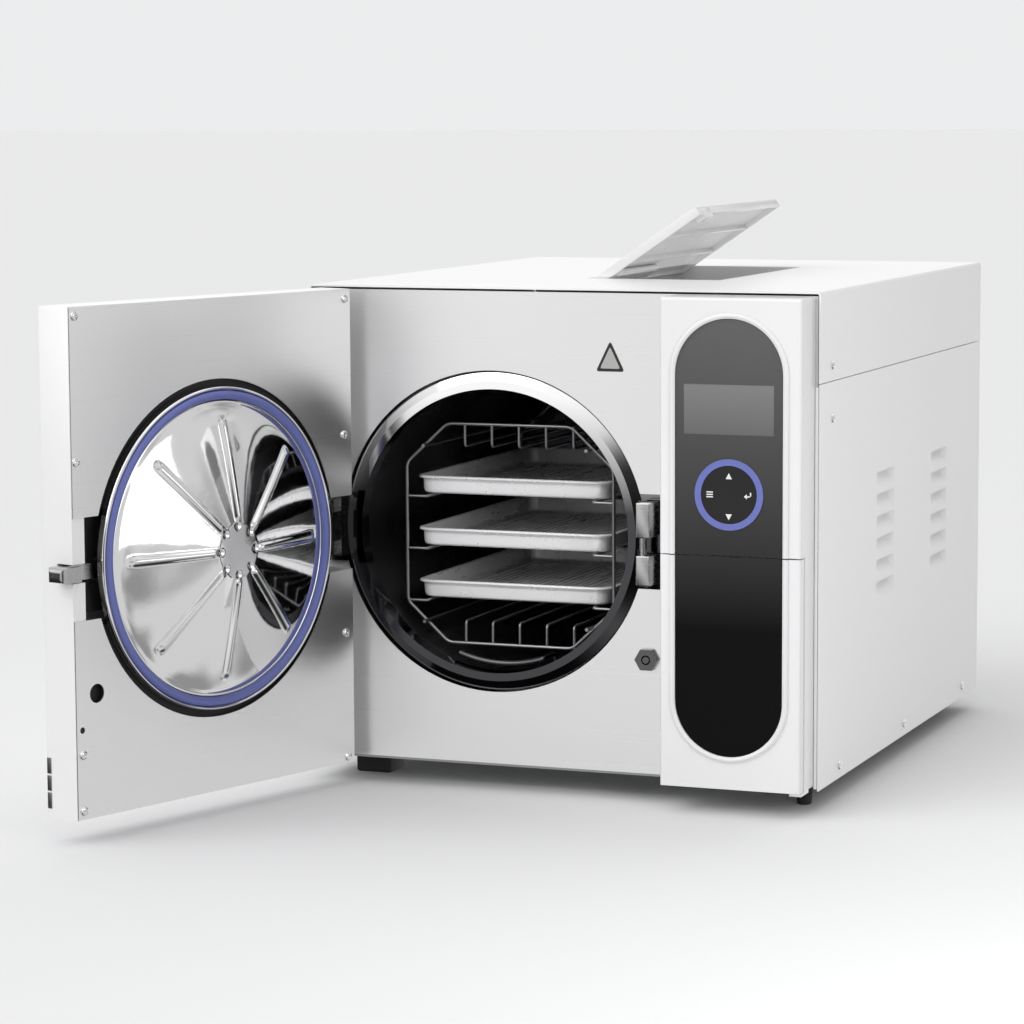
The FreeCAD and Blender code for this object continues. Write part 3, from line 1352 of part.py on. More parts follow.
def dome_height(radius):
    """How far the disc's front stands behind the front panel's face at a radius."""
    low, high = -4.0, float(d.hub_rise)
    share = (DISC_EDGE - radius) / (DISC_EDGE - HUB_RADIUS)
    return low + (high - low) * share ** 0.8


def door_disc():
    """The pressed pressure plate: domed towards the chamber, with eight radial ribs."""
    disc = Body("Disc")
    radii = [DISC_EDGE - (DISC_EDGE - HUB_RADIUS) * n / 6 for n in range(7)]
    front = [(r, dome_height(r)) for r in radii]
    back = [(r - 1.5, dome_height(r) - DISC_SHEET) for r in radii]
    rim, inner, outer = float(d.pan_radius), *GROOVE
    section = disc.sketch("top", 0.0)
    polygon(section, [(rim, -3.4), (outer, -3.4), (outer, -7.0), (inner, -7.0),
                      (inner, -4.0)] + front + [(0.0, d.hub_rise)]
            + [(0.0, d.hub_rise - DISC_SHEET)] + back[::-1]
            + [(inner - DISC_SHEET, -6.0), (inner - DISC_SHEET, -9.0), (rim, -9.0)])
    disc.revolve(section)
    off_the_ribs = FreeCAD.Rotation(V(0, 1, 0), 11.0)
    disc.body.Placement = FreeCAD.Placement(V(float(d.axis_x), 0, float(d.axis_z)),
                                            off_the_ribs)
    ribs = []
    for n in range(8):
        angle = math.radians(45 * n + 90)
        ends = []
        for radius in (30.0, 102.0):
            x = float(d.axis_x) + radius * math.cos(angle)
            z = float(d.axis_z) + radius * math.sin(angle)
            ends.append((x, dome_height(radius) - RIB_SINK, z))
            ribs.append(ball(*ends[-1], RIB_RADIUS))
        ribs.append(rod(*ends, RIB_RADIUS))
    publish("door_disc", fuse(disc.body, *ribs), DOOR)


def door_gasket():
    """The silicone seal in the disc's groove."""
    gasket = Body("door_gasket")
    inner, outer = GROOVE[0] + 0.1, GROOVE[1] - 0.1
    section = gasket.sketch("top", 0.0)
    rectangle(section, inner, outer, -7.0, 0.3)
    gasket.revolve(section)
    gasket.soften(3.0, lambda e: e.Curve.TypeId == "Part::GeomCircle" and edge_at(e, y=0.3))
    publish("door_gasket", gasket, DOOR, at=(d.axis_x, 0.0, d.axis_z))


def door_stud():
    """The centre stud that holds the disc on the beam, with its nut."""
    reach = d.hub_rise - DISC_SHEET
    stud = cylinder(STUD, d.axis_x, -BEAM_BACK, d.axis_z, reach + BEAM_BACK, "Y")
    nut = hexagon(24.0, d.axis_x, -BEAM_BACK - 3.2, d.axis_z, 3.2, "Y")
    washer = cylinder(20.0, d.axis_x, -BEAM_FRONT, d.axis_z, 3.0, "Y")
    publish("door_stud", fuse(stud, nut, washer), DOOR)


def latch():
    """The bolt, hooked towards the hinge, and the grip in the handle cup that slides it."""
    low = d.bolt_z - d.bolt_height / 2
    bolt = Body("latch_bolt")
    outline = bolt.sketch("top", low)
    tip = d.bolt_tip
    polygon(outline, [
        (BOLT_START, -BOLT_FRONT), (tip, -BOLT_FRONT), (tip, -HOOK["inner"]),
        (HOOK["left"], -HOOK["inner"]), (HOOK["left"], -HOOK["back"]),
        (HOOK["right"], -HOOK["back"]), (HOOK["right"], -BOLT_BACK),
        (BOLT_START, -BOLT_BACK)])
    bolt.pad(outline, d.bolt_height)
    bolt.soften(4.0, lambda e: edge_at(e, x=tip))
    publish("latch_bolt", bolt, DOOR)
    arm_front, arm_back = -20.5, -14.0
    bottom, top = GRIP["foot"]
    right = GRIP["stub_right"]
    arm = box(BOLT_START, BOLT_START + 8.0, arm_front, arm_back, bottom, low)
    foot = box(BOLT_START, right, arm_front, arm_back, bottom, top)
    stub = box(GRIP["left"], right, -37.0, arm_back, bottom + 2.0, top - 2.0)
    grip = fillet(box(GRIP["left"], GRIP["right"], -38.5, -28.2, 78.0, 142.0), 2.0,
                  lambda e: runs_along(e, "Z"))
    publish("latch_grip", fuse(arm, foot, stub, grip), DOOR)


# ---------------------------------------------------------------- build, check, export

for build in (base_chassis, top_cover, left_side_panel, right_side_panel, front_panel,
              rear_panel, case_screws, feet, vessel_flange, vessel_shell, vessel_insulation,
              band_heaters, safety_valve, temperature_probe, hinge_bracket, door_striker,
              interlock, fascia_frame, service_hinge_pins, service_door, windows, controls,
              service_bay, hatch_frame, hatch_lid, water_tank, steam_generator, pumps,
              condenser, fan, valves_and_supply, mains_inlet, drain_spout, rack, door_cover,
              door_plates, door_screws, door_beam, door_disc, door_gasket, door_stud, latch):
    build()
for number, name in enumerate(("tray_top", "tray_middle", "tray_bottom")):
    tray(name, number)

doc.recompute()

for obj in doc.Objects:
    if {"Invalid", "Error"} & set(obj.State):
        raise RuntimeError(f"{obj.Name} ({obj.Label}) failed: {obj.State}")
for label, obj in nodes.items():
    if obj.Shape.isNull() or not obj.Shape.isValid():
        raise RuntimeError(f"{label} has no valid shape")
    if obj.TypeId == "Part::MultiFuse" and len(obj.Shape.Solids) != 1:
        raise RuntimeError(f"{label} fell apart into {len(obj.Shape.Solids)} solids")

os.makedirs("parts", exist_ok=True)
whole = FreeCAD.BoundBox()
for label, obj in nodes.items():
    obj.Shape.exportStep(os.path.join("parts", f"{label}.step"))
    whole.add(obj.Shape.BoundBox)
    print(f"{label:22s} solids {len(obj.Shape.Solids):3d}  volume {obj.Shape.Volume:12.1f}")
print(f"{len(nodes)} nodes, box {whole}")
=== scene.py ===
"""Looks of a benchtop autoclave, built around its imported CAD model.

Pieces are drawn in the cabinet's frame in millimetres: X to the right from the left side
panel, Y backwards from the front panel's face, Z up from the side panels' bottom edge.
Pieces of the door and of the water lid are drawn shut. One matrix per frame then carries
them to where the machine stands at rest, in metres.
"""
import bmesh
import bpy
import json
import math
from mathutils import Matrix, Vector


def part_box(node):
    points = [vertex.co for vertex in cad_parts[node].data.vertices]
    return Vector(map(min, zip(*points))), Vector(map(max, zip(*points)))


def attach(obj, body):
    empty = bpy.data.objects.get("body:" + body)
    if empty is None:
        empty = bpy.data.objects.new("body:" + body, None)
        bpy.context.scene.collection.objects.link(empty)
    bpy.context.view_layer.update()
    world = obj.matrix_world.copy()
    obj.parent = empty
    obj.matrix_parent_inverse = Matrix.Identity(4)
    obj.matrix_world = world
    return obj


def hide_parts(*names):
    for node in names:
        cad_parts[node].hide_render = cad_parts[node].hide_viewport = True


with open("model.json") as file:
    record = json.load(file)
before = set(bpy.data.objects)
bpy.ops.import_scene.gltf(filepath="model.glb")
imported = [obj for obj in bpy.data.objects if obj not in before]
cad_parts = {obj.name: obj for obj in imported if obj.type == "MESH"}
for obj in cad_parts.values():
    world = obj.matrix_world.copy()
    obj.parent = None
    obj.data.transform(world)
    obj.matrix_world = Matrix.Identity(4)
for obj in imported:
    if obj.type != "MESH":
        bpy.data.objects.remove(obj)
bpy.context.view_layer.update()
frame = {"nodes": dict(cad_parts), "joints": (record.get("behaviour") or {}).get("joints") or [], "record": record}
nodes = frame["nodes"]
joints = {joint["name"]: joint for joint in frame["joints"]}

# ---------------------------------------------------------------- frames

MM = 0.001
CABINET = Matrix.Translation(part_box("left_side_panel")[0]) @ Matrix.Scale(MM, 4)


def drawn_shut(joint_name):
    """The frame of pieces that are drawn at a hinge's low limit, carried to rest."""
    joint = joints[joint_name]
    pivot = Matrix.Translation(Vector(joint["pos_m"]))
    turn = Matrix.Rotation(-math.radians(joint["range_deg"][0]), 4, Vector(joint["axis"]))
    return pivot @ turn @ pivot.inverted() @ CABINET


DOOR = drawn_shut("door_hinge")
LID = drawn_shut("water_lid_hinge")


class Extent:
    """A CAD node's box at rest, in the cabinet's frame."""

    def __init__(self, node):
        low, high = (CABINET.inverted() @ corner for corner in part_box(node))
        self.x0, self.y0, self.z0 = low
        self.x1, self.y1, self.z1 = high
        self.x, self.y, self.z = (low + high) / 2


shell = Extent("vessel_shell")
AXIS_X, AXIS_Z = shell.x, shell.z

# ---------------------------------------------------------------- materials


def mix_colours(tree, factor, first, second):
    """The output of a node that blends two plain colours by a factor."""
    mix = tree.nodes.new("ShaderNodeMix")
    mix.data_type = "RGBA"
    mix.inputs["A"].default_value = (*first, 1)
    mix.inputs["B"].default_value = (*second, 1)
    tree.links.new(factor, mix.inputs["Factor"])
    return mix.outputs["Result"]


def material(name, colour, shade=0.94, metallic=0.0, rough=(0.3, 0.4), scale=(60, 60, 60),
             detail=4.0, bump=0.1, depth=0.0001, fine=None, gradient=None, **sockets):
    """A procedural surface: two close tones, uneven roughness and a fine relief.

    scale stretches the noise, so that grain can run one way. fine adds a second, finer
    relief. gradient paints light and shade by height: it is (low height, high height,
    low colour) in metres along Z.
    """
    made = bpy.data.materials.new(name)
    made.use_nodes = True
    tree = made.node_tree
    new, link = tree.nodes.new, tree.links.new
    shader = tree.nodes["Principled BSDF"]
    where = new("ShaderNodeTexCoord").outputs["Object"]
    stretch = new("ShaderNodeMapping")
    stretch.inputs["Scale"].default_value = scale
    link(where, stretch.inputs["Vector"])
    noise = new("ShaderNodeTexNoise")
    noise.inputs["Scale"].default_value = 1.0
    noise.inputs["Detail"].default_value = detail
    link(stretch.outputs["Vector"], noise.inputs["Vector"])
    pattern = noise.outputs["Fac"]
    dark = tuple(channel * shade for channel in colour)
    tone = mix_colours(tree, pattern, dark, colour)
    if gradient:
        low, high, low_colour = gradient
        split = new("ShaderNodeSeparateXYZ")
        link(where, split.inputs["Vector"])
        height = new("ShaderNodeMapRange")
        height.inputs["From Min"].default_value = low
        height.inputs["From Max"].default_value = high
        link(split.outputs["Z"], height.inputs["Value"])
        blend = new("ShaderNodeMix")
        blend.data_type = "RGBA"
        blend.inputs["A"].default_value = (*low_colour, 1)
        link(height.outputs["Result"], blend.inputs["Factor"])
        link(tone, blend.inputs["B"])
        tone = blend.outputs["Result"]
    link(tone, shader.inputs["Base Color"])
    uneven = new("ShaderNodeMapRange")
    uneven.inputs["To Min"].default_value = rough[0]
    uneven.inputs["To Max"].default_value = rough[1]
    link(pattern, uneven.inputs["Value"])
    link(uneven.outputs["Result"], shader.inputs["Roughness"])

    def relief(height):
        node = new("ShaderNodeBump")
        node.inputs["Strength"].default_value = bump
        node.inputs["Distance"].default_value = depth
        link(height, node.inputs["Height"])
        return node

    normal = relief(pattern).outputs["Normal"]
    if fine:
        grain = new("ShaderNodeTexNoise")
        grain.inputs["Scale"].default_value = fine
        grain.inputs["Detail"].default_value = 2.0
        link(where, grain.inputs["Vector"])
        peel = relief(grain.outputs["Fac"])
        link(normal, peel.inputs["Normal"])
        normal = peel.outputs["Normal"]
    link(normal, shader.inputs["Normal"])
    shader.inputs["Metallic"].default_value = metallic
    for socket, value in sockets.items():
        shader.inputs[socket.replace("_", " ")].default_value = value
    return made


def dark_chrome():
    return material("dark_chrome", (0.12, 0.12, 0.123), 0.7, metallic=1.0, rough=(0.08, 0.16),
                    scale=(90, 90, 90), bump=0.2)


def flange_steel_painted_shade():
    """Mirror steel with painted shade: dark at its foot and bright at its top, as the light falls."""
    low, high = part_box("vessel_flange")
    middle, half = (low.z + high.z) / 2, (high.z - low.z) / 2
    # The gradient paints shade: the ring turns near black towards its foot.
    return material("flange_steel_painted_shade", (0.88, 0.88, 0.885), 0.96, metallic=1.0,
                    rough=(0.06, 0.12), scale=(16, 16, 16), bump=0.2,
                    gradient=(middle + 0.15 * half, middle + 0.85 * half, (0.06, 0.06, 0.065)))


def white_paint():
    """Satin powder coat with a fine orange peel."""
    return material("white_paint", (0.82, 0.818, 0.825), 0.985, rough=(0.3, 0.4), fine=1400,
                    bump=0.12, depth=0.00008, Coat_Weight=0.15, Coat_Roughness=0.3)


def brushed():
    """Stainless sheet with a horizontal brushed grain."""
    return material("brushed", (0.97, 0.965, 0.97), 0.94, metallic=1.0, rough=(0.25, 0.33),
                    scale=(3, 3, 1500), detail=5.0, bump=0.07, depth=0.00005)


def polished():
    """Mirror-polished steel with the slight waviness of pressed sheet."""
    return material("polished", (0.9, 0.9, 0.905), 0.97, metallic=1.0, rough=(0.03, 0.08),
                    scale=(16, 16, 16), bump=0.3, depth=0.0008)


def chamber_steel():
    """Electropolished steel, painted dark as painted shade deep in the chamber."""
    # The dark base colour is painted shade: the chamber's steel stands deep in shadow.
    return material("chamber_steel", (0.16, 0.16, 0.17), 0.6, metallic=1.0,
                    rough=(0.22, 0.34), scale=(16, 5, 16), bump=0.1)


def tray_metal():
    """Bright pressed aluminium, a little cloudy from washing."""
    return material("tray_metal", (0.95, 0.95, 0.955), 0.95, metallic=0.35,
                    rough=(0.22, 0.34), scale=(40, 8, 40), bump=0.1)


def dull_steel():
    """Drawn stainless wire."""
    return material("dull_steel", (0.42, 0.42, 0.43), 0.8, metallic=1.0, rough=(0.28, 0.42),
                    scale=(200, 30, 200), bump=0.1)


def machined_steel():
    return material("machined_steel", (0.58, 0.575, 0.57), 0.8, metallic=1.0,
                    rough=(0.16, 0.34), scale=(120, 120, 900), bump=0.15, depth=0.00005)


def galvanised():
    """Zinc spangle: large crystals of slightly different shade."""
    return material("galvanised", (0.52, 0.53, 0.54), 0.72, metallic=1.0, rough=(0.3, 0.5),
                    scale=(70, 70, 70), detail=1.0, bump=0.08)


def black_steel():
    return material("black_steel", (0.03, 0.03, 0.03), 0.7, rough=(0.35, 0.5), fine=900,
                    bump=0.15)


def silicone():
    return material("silicone", (0.125, 0.15, 0.40), 0.85, rough=(0.34, 0.46), fine=1600,
                    bump=0.1, depth=0.00006, Subsurface_Weight=0.05)


def felt():
    return material("felt", (0.75, 0.72, 0.66), 0.8, rough=(0.8, 0.95), scale=(300, 300, 300),
                    bump=0.6, depth=0.0008, fine=2600)


def white_plastic():
    """Moulded plastic with a soft gloss."""
    return material("white_plastic", (0.75, 0.748, 0.755), 0.985, rough=(0.2, 0.28),
                    fine=2200, bump=0.05, depth=0.00005, Coat_Weight=0.25)


def black_gloss():
    """Black panel behind a clear pane, with a painted reflection that fades it to grey at its top."""
    low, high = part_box("display_window")
    # The gradient paints a reflection: grey at the pane's top, black at its foot.
    return material("black_gloss", (0.115, 0.115, 0.117), 0.94, rough=(0.06, 0.1),
                    bump=0.02, gradient=(low.z - 0.06, high.z, (0.003, 0.003, 0.003)),
                    Specular_IOR_Level=0.06)


def keypad_black():
    return material("keypad_black", (0.024, 0.024, 0.025), 0.9, rough=(0.1, 0.16), bump=0.03,
                    Specular_IOR_Level=0.08)


def ring_blue():
    return material("ring_blue", (0.13, 0.155, 0.44), 0.95, rough=(0.3, 0.38), bump=0.05)


def screen():
    """An unlit liquid crystal panel, with painted light that makes it a little lighter at its top."""
    low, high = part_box("lcd_module")
    # The gradient is painted light: the screen's top is lighter than its foot.
    return material("screen", (0.2, 0.198, 0.2), 0.96, rough=(0.16, 0.22), bump=0.03,
                    gradient=(low.z, high.z, (0.13, 0.128, 0.131)),
                    Specular_IOR_Level=0.1)


def circuit():
    return material("circuit", (0.02, 0.17, 0.06), 0.6, rough=(0.3, 0.45), scale=(300,) * 3)


def grey_plastic():
    return material("grey_plastic", (0.66, 0.665, 0.67), 0.93, rough=(0.45, 0.6), fine=1800)


def black_plastic():
    return material("black_plastic", (0.02, 0.02, 0.021), 0.8, rough=(0.4, 0.55), fine=2000,
                    bump=0.2)


def supply_case():
    return material("supply_case", (0.62, 0.63, 0.64), 0.85, metallic=1.0, rough=(0.3, 0.45),
                    scale=(20, 400, 20))


def rubber():
    return material("rubber", (0.014, 0.014, 0.014), 0.7, rough=(0.6, 0.75), fine=1500,
                    bump=0.3)


def brass():
    return material("brass", (0.70, 0.50, 0.21), 0.85, metallic=1.0, rough=(0.18, 0.32),
                    scale=(90, 500, 90))


def fins():
    return material("fins", (0.72, 0.72, 0.73), 0.8, metallic=1.0, rough=(0.28, 0.42),
                    scale=(30, 30, 300))


MATERIALS = {build.__name__: build() for build in (
    white_paint, brushed, polished, chamber_steel, tray_metal, dull_steel, machined_steel,
    galvanised, black_steel, silicone, felt, white_plastic, black_gloss, keypad_black,
    ring_blue, screen, circuit, grey_plastic, black_plastic, supply_case, rubber, brass, fins)}
DARK_CHROME = dark_chrome()
# Nodes that look different from the rest of their slot. The temperature probe is given dark chrome as painted
# shade, for it lies deep in the chamber.
SPECIAL = {"vessel_flange": flange_steel_painted_shade(), "interlock_housing": DARK_CHROME,
           "interlock_pin": DARK_CHROME, "temperature_probe": DARK_CHROME,
           "water_tank": MATERIALS["white_plastic"]}
SLOTS = {part["node"]: part["material_slot"] for part in frame["record"]["subparts"]}
for node, obj in nodes.items():
    obj.data.materials.clear()
    obj.data.materials.append(SPECIAL.get(node) or MATERIALS[SLOTS[node]])

# ---------------------------------------------------------------- mesh helpers


def finish_piece(mesh, name, body, slot, place=CABINET, stands_for=(), smooth=35.0):
    """Carry a mesh from its frame into the model's, and hand it to its body.

    Edges sharper than smooth, in degrees, stay sharp. 0 leaves the shading as it is.
    """
    mesh.transform(place)
    mesh.update()
    if smooth:
        mesh.polygons.foreach_set("use_smooth", [True] * len(mesh.polygons))
        mesh.set_sharp_from_angle(angle=math.radians(smooth))
    mesh.materials.clear()
    mesh.materials.append(MATERIALS[slot])
    obj = bpy.data.objects.new(name, mesh)
    bpy.context.scene.collection.objects.link(obj)
    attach(obj, body)
    if stands_for:
        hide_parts(*stands_for)
    return obj


def to_mesh(bm, name):
    """Close a bmesh into a mesh with outward faces."""
    bmesh.ops.recalc_face_normals(bm, faces=bm.faces)
    mesh = bpy.data.meshes.new(name)
    bm.to_mesh(mesh)
    bm.free()
    return mesh


def full_turn(count):
    """Even steps of a whole turn, in radians."""
    return [2 * math.pi * i / count for i in range(count)]


def skin(bm, rows):
    """Faces between each closed row of points and the next."""
    for row, following in zip(rows, rows[1:]):
        for i in range(len(row)):
            j = (i + 1) % len(row)
            bm.faces.new((row[i], row[j], following[j], following[i]))


def lathe(bm, profile, x, z, segments=192):
    """Turn a closed profile of (radius, Y) points about an axis along Y."""
    rings = [[bm.verts.new((x + radius * math.cos(a), y, z + radius * math.sin(a)))
              for a in full_turn(segments)] for radius, y in profile]
    skin(bm, rings + rings[:1])


def upright_lathe(bm, profile, x, y, segments):
    """Turn an open profile of (radius, Z) points about a vertical axis, with flat ends."""
    rings = [[bm.verts.new((x + radius * math.cos(a), y + radius * math.sin(a), z))
              for a in full_turn(segments)] for radius, z in profile]
    skin(bm, rings)
    bm.faces.new(rings[0][::-1])
    bm.faces.new(rings[-1])


def block(bm, low, high, bevel=0.6):
    """A box with rounded edges."""
    made = bmesh.ops.create_cube(bm, size=1.0)["verts"]
    low, high = Vector(low), Vector(high)
    for vert in made:
        vert.co = Vector((low[i] + (vert.co[i] + 0.5) * (high[i] - low[i])) for i in range(3))
    edges = list(dict.fromkeys(edge for vert in made for edge in vert.link_edges))
    bmesh.ops.bevel(bm, geom=edges, offset=bevel, segments=3, affect="EDGES",
                    profile=0.5)


def curve_mesh(name, settings, paths, closed):
    """The mesh of a curve with straight runs between its points."""
    curve = bpy.data.curves.new(name, "CURVE")
    for key, value in settings.items():
        setattr(curve, key, value)
    for path in paths:
        spline = curve.splines.new("POLY")
        spline.points.add(len(path) - 1)
        for point, co in zip(spline.points, path):
            point.co = (*co, 1.0)
        spline.use_cyclic_u = closed
    holder = bpy.data.objects.new(name, curve)
    bpy.context.scene.collection.objects.link(holder)
    graph = bpy.context.evaluated_depsgraph_get()
    mesh = bpy.data.meshes.new_from_object(holder.evaluated_get(graph))
    bpy.data.objects.remove(holder)
    bpy.data.curves.remove(curve)
    return mesh


def sheet_metal(name, outlines, y_front, y_back, edge=0.3):
    """A plate in the XZ plane from closed outlines, the inner ones being holes."""
    half = (y_back - y_front) / 2
    mesh = curve_mesh(name, {"dimensions": "2D", "fill_mode": "BOTH", "extrude": half - edge,
                             "bevel_depth": edge, "bevel_resolution": 2, "offset": -edge},
                      [[(x, z, 0) for x, z in outline] for outline in outlines], True)
    upright = Matrix(((1, 0, 0, 0), (0, 0, -1, (y_front + y_back) / 2), (0, 1, 0, 0),
                      (0, 0, 0, 1)))
    mesh.transform(upright)
    return mesh


def wires(name, paths, radius):
    """Round wire along each path, with closed ends."""
    return curve_mesh(name, {"dimensions": "3D", "fill_mode": "FULL", "bevel_depth": radius,
                             "bevel_resolution": 3, "use_fill_caps": True}, paths, False)


def thicken(obj, thickness):
    """Give a sheet its thickness, in millimetres, on its inner side."""
    sheet = obj.modifiers.new("sheet", "SOLIDIFY")
    sheet.thickness = thickness * MM
    sheet.offset = -1


def bend(points, radius, closed=False, steps=5):
    """A path whose corners are rounded, the way wire is bent."""
    points = [Vector(point) for point in points]
    count = len(points)
    path = []
    for n, corner in enumerate(points):
        if not closed and n in (0, count - 1):
            path.append(corner)
            continue
        before, after = points[n - 1] - corner, points[(n + 1) % count] - corner
        reach = min(radius, before.length / 2.1, after.length / 2.1)
        start = corner + before.normalized() * reach
        end = corner + after.normalized() * reach
        for i in range(steps + 1):
            t = i / steps
            path.append(start * (1 - t) ** 2 + corner * 2 * t * (1 - t) + end * t ** 2)
    return path + path[:1] if closed else path


def joined(meshes, name):
    """Several meshes as one."""
    bm = bmesh.new()
    for mesh in meshes:
        bm.from_mesh(mesh)
        bpy.data.meshes.remove(mesh)
    made = bpy.data.meshes.new(name)
    bm.to_mesh(made)
    bm.free()
    return made


# ---------------------------------------------------------------- door

DISC_RIM = 130.0
DISC_EDGE = 116.0
HUB = 22.0
HUB_RISE = 17.0
DISH_LOW = -4.0
RIBS = 8
RIB_START = 27.0
RIB_END = 104.0
RIB_HALF = 4.6
RIB_HEIGHT = 2.9
RIB_COLUMNS = 44
DISC_STEP = 0.9
DISC_CENTRE = 0.8
DIMPLE_CIRCLE, DIMPLE_WIDTH, DIMPLE_DEPTH = 19.5, 2.2, 1.1
# (radius, Y) outwards from the dished face: the seal's groove, the rolled rim and its back.
DISC_TROUGH = [(117.0, -4.4), (118.0, -4.7), (119.0, -4.3), (119.3, -7.0), (126.8, -7.0),
               (126.9, -3.4), (127.4, -2.2), (128.3, -1.7), (129.2, -2.1), (129.8, -3.0),
               (DISC_RIM, -4.2), (DISC_RIM, -8.4), (129.4, -9.0), (117.0, -9.0)]
SEAL_INNER, SEAL_OUTER = 119.4, 126.7
SEAL_BACK, SEAL_SHOULDER, SEAL_RISE = -6.9, -3.9, 4.2


def ease(value):
    """0 to 1 with a soft start and end."""
    value = min(1.0, max(0.0, value))
    return value * value * (3 - 2 * value)


def dome(radius):
    """How far the disc stands behind the front panel's face: a cone with a round hub."""
    share = min(1.0, (DISC_EDGE - radius) / (DISC_EDGE - HUB))
    if share <= 0:
        return DISH_LOW
    return DISH_LOW + (HUB_RISE - DISH_LOW) * share ** 0.8


def rib(radius, across):
    """The height of a pressed rib, rounded across and at both ends."""
    ends = ease((radius - RIB_START + 5) / 6) * ease((RIB_END + 3 - radius) / 8)
    half = RIB_HALF * (0.75 + 0.35 * radius / RIB_END)
    share = min(1.0, abs(across) / half)
    return RIB_HEIGHT * ends * math.cos(share * math.pi / 2) ** 1.4


def hub_dimples(radius, angle):
    """A ring of small dents round the hub, between the ribs' roots."""
    away = math.hypot(radius - DIMPLE_CIRCLE, DIMPLE_CIRCLE * math.sin(angle))
    return -DIMPLE_DEPTH * math.exp(-(away / DIMPLE_WIDTH) ** 2)


def door_disc():
    """The pressed mirror-bright plate, with eight radial ribs and a rolled rim."""
    bm = bmesh.new()
    sector = math.pi / RIBS
    angles = []
    for n in range(RIBS):
        for i in range(RIB_COLUMNS):
            t = 2 * i / RIB_COLUMNS - 1
            # Columns lie closest together on the rib.
            angles.append((2 * sector * n + math.pi / 2, sector * (0.3 * t + 0.7 * t ** 3)))
    rows = math.ceil((DISC_EDGE - 1 - DISC_CENTRE) / DISC_STEP)
    radii = [DISC_CENTRE + DISC_STEP * n for n in range(rows)] + [DISC_EDGE]
    face = []
    for radius in radii:
        ring = []
        for middle, offset in angles:
            lift = rib(radius, radius * math.sin(offset)) + hub_dimples(radius, offset)
            turn = middle + offset
            ring.append(bm.verts.new((AXIS_X + radius * math.cos(turn), dome(radius) + lift,
                                      AXIS_Z + radius * math.sin(turn))))
        face.append(ring)
    for radius, y in DISC_TROUGH:
        face.append([bm.verts.new((AXIS_X + radius * math.cos(m + o), y,
                                   AXIS_Z + radius * math.sin(m + o))) for m, o in angles])
    count = len(angles)
    for inner, outer in zip(face, face[1:]):
        for i in range(count):
            j = (i + 1) % count
            bm.faces.new((inner[i], outer[i], outer[j], inner[j]))
    top = bm.verts.new((AXIS_X, HUB_RISE, AXIS_Z))
    for i in range(count):
        bm.faces.new((top, face[0][i], face[0][(i + 1) % count]))
    finish_piece(to_mesh(bm, "pressure_disc"), "pressure_disc", "door", "polished", DOOR,
                 ["door_disc"], smooth=40)


def door_gasket():
    """The silicone seal: a soft round lip that stands proud of its groove."""
    bm = bmesh.new()
    middle, half = (SEAL_INNER + SEAL_OUTER) / 2, (SEAL_OUTER - SEAL_INNER) / 2
    lip = [(middle + half * math.cos(a), SEAL_SHOULDER + SEAL_RISE * math.sin(a))
           for a in (math.pi * i / 12 for i in range(13))]
    lathe(bm, lip + [(SEAL_INNER, SEAL_BACK), (SEAL_OUTER, SEAL_BACK)], AXIS_X, AXIS_Z, 256)
    finish_piece(to_mesh(bm, "seal"), "seal", "door", "silicone", DOOR, ["door_gasket"])


PLATE_FACE = -6.0
AXIS_GAP = 0.01
RING_INNER, RING_OUTER = 122.0, 141.0
RING_FRONT, RING_BACK = -10.4, -12.4
# X, Z and radius of the interlock's hole and of the small hole near the free edge.
LOCK_HOLE = (299.5, 100.0, 8.6)
SMALL_HOLE = (315.4, 73.0, 2.6)
CUP_RIM, CUP_FLOOR, CUP_BACK, CUP_WALL = -7.6, -12.0, -13.2, 1.2
PLUG_BACK, PLUG_FRONT = -7.18, -6.7
LATCH_SIDE, HINGE_SIDE = (154.0, 242.0), (161.0, 233.0)
STRIP_CELLS = ((9.0, 21.5), (23.0, 35.0), (36.5, 49.0))
STRIP_OUTER, STRIP_INNER = -40.0, -35.4


def in_notch(point):
    """True beside the striker and the latch bolt, or beside the hinge bracket."""
    low, high = LATCH_SIDE if point.x > AXIS_X else HINGE_SIDE
    return low < point.z < high


def door_shade_backing():
    """Black backing as painted shade behind the round gap and the two holes of the inner plate.

    The ring stops at the notches, so that the shut door clears the striker and the hinge.
    """
    bm = bmesh.new()
    # A black ring and two black cups stand in for the shade inside the door.
    lathe(bm, [(RING_INNER, RING_FRONT), (RING_OUTER, RING_FRONT), (RING_OUTER, RING_BACK),
               (RING_INNER, RING_BACK)], AXIS_X, AXIS_Z)
    spare = [face for face in bm.faces if in_notch(face.calc_center_median())]
    bmesh.ops.delete(bm, geom=spare, context="FACES")
    bmesh.ops.holes_fill(bm, edges=[edge for edge in bm.edges if edge.is_boundary])
    x, z, radius = LOCK_HOLE
    outside = radius + CUP_WALL
    lathe(bm, [(AXIS_GAP, CUP_FLOOR), (radius, CUP_FLOOR), (radius, CUP_RIM),
               (outside, CUP_RIM), (outside, CUP_BACK), (AXIS_GAP, CUP_BACK)], x, z, 40)
    x, z, radius = SMALL_HOLE
    lathe(bm, [(AXIS_GAP, PLUG_BACK), (radius, PLUG_BACK), (radius, PLUG_FRONT),
               (AXIS_GAP, PLUG_FRONT)], x, z, 40)
    finish_piece(to_mesh(bm, "painted_shade_backing"), "painted_shade_backing", "door", "rubber", DOOR)


def edge_strip():
    """The blank three-part strip at the foot of the door's free edge."""
    edge = shut_extent("door_cover", DOOR)[1].x
    bm = bmesh.new()
    for z0, z1 in STRIP_CELLS:
        block(bm, (edge - 0.3, STRIP_OUTER, z0), (edge + 0.5, STRIP_INNER, z1), 0.2)
    finish_piece(to_mesh(bm, "edge_strip"), "edge_strip", "door", "dull_steel", DOOR)


# ---------------------------------------------------------------- screws

SIDE_SCREWS = [(35.0, 299.0), (60.0, 11.0), (265.0, 11.0), (474.0, 11.0), (34.0, 342.0)]
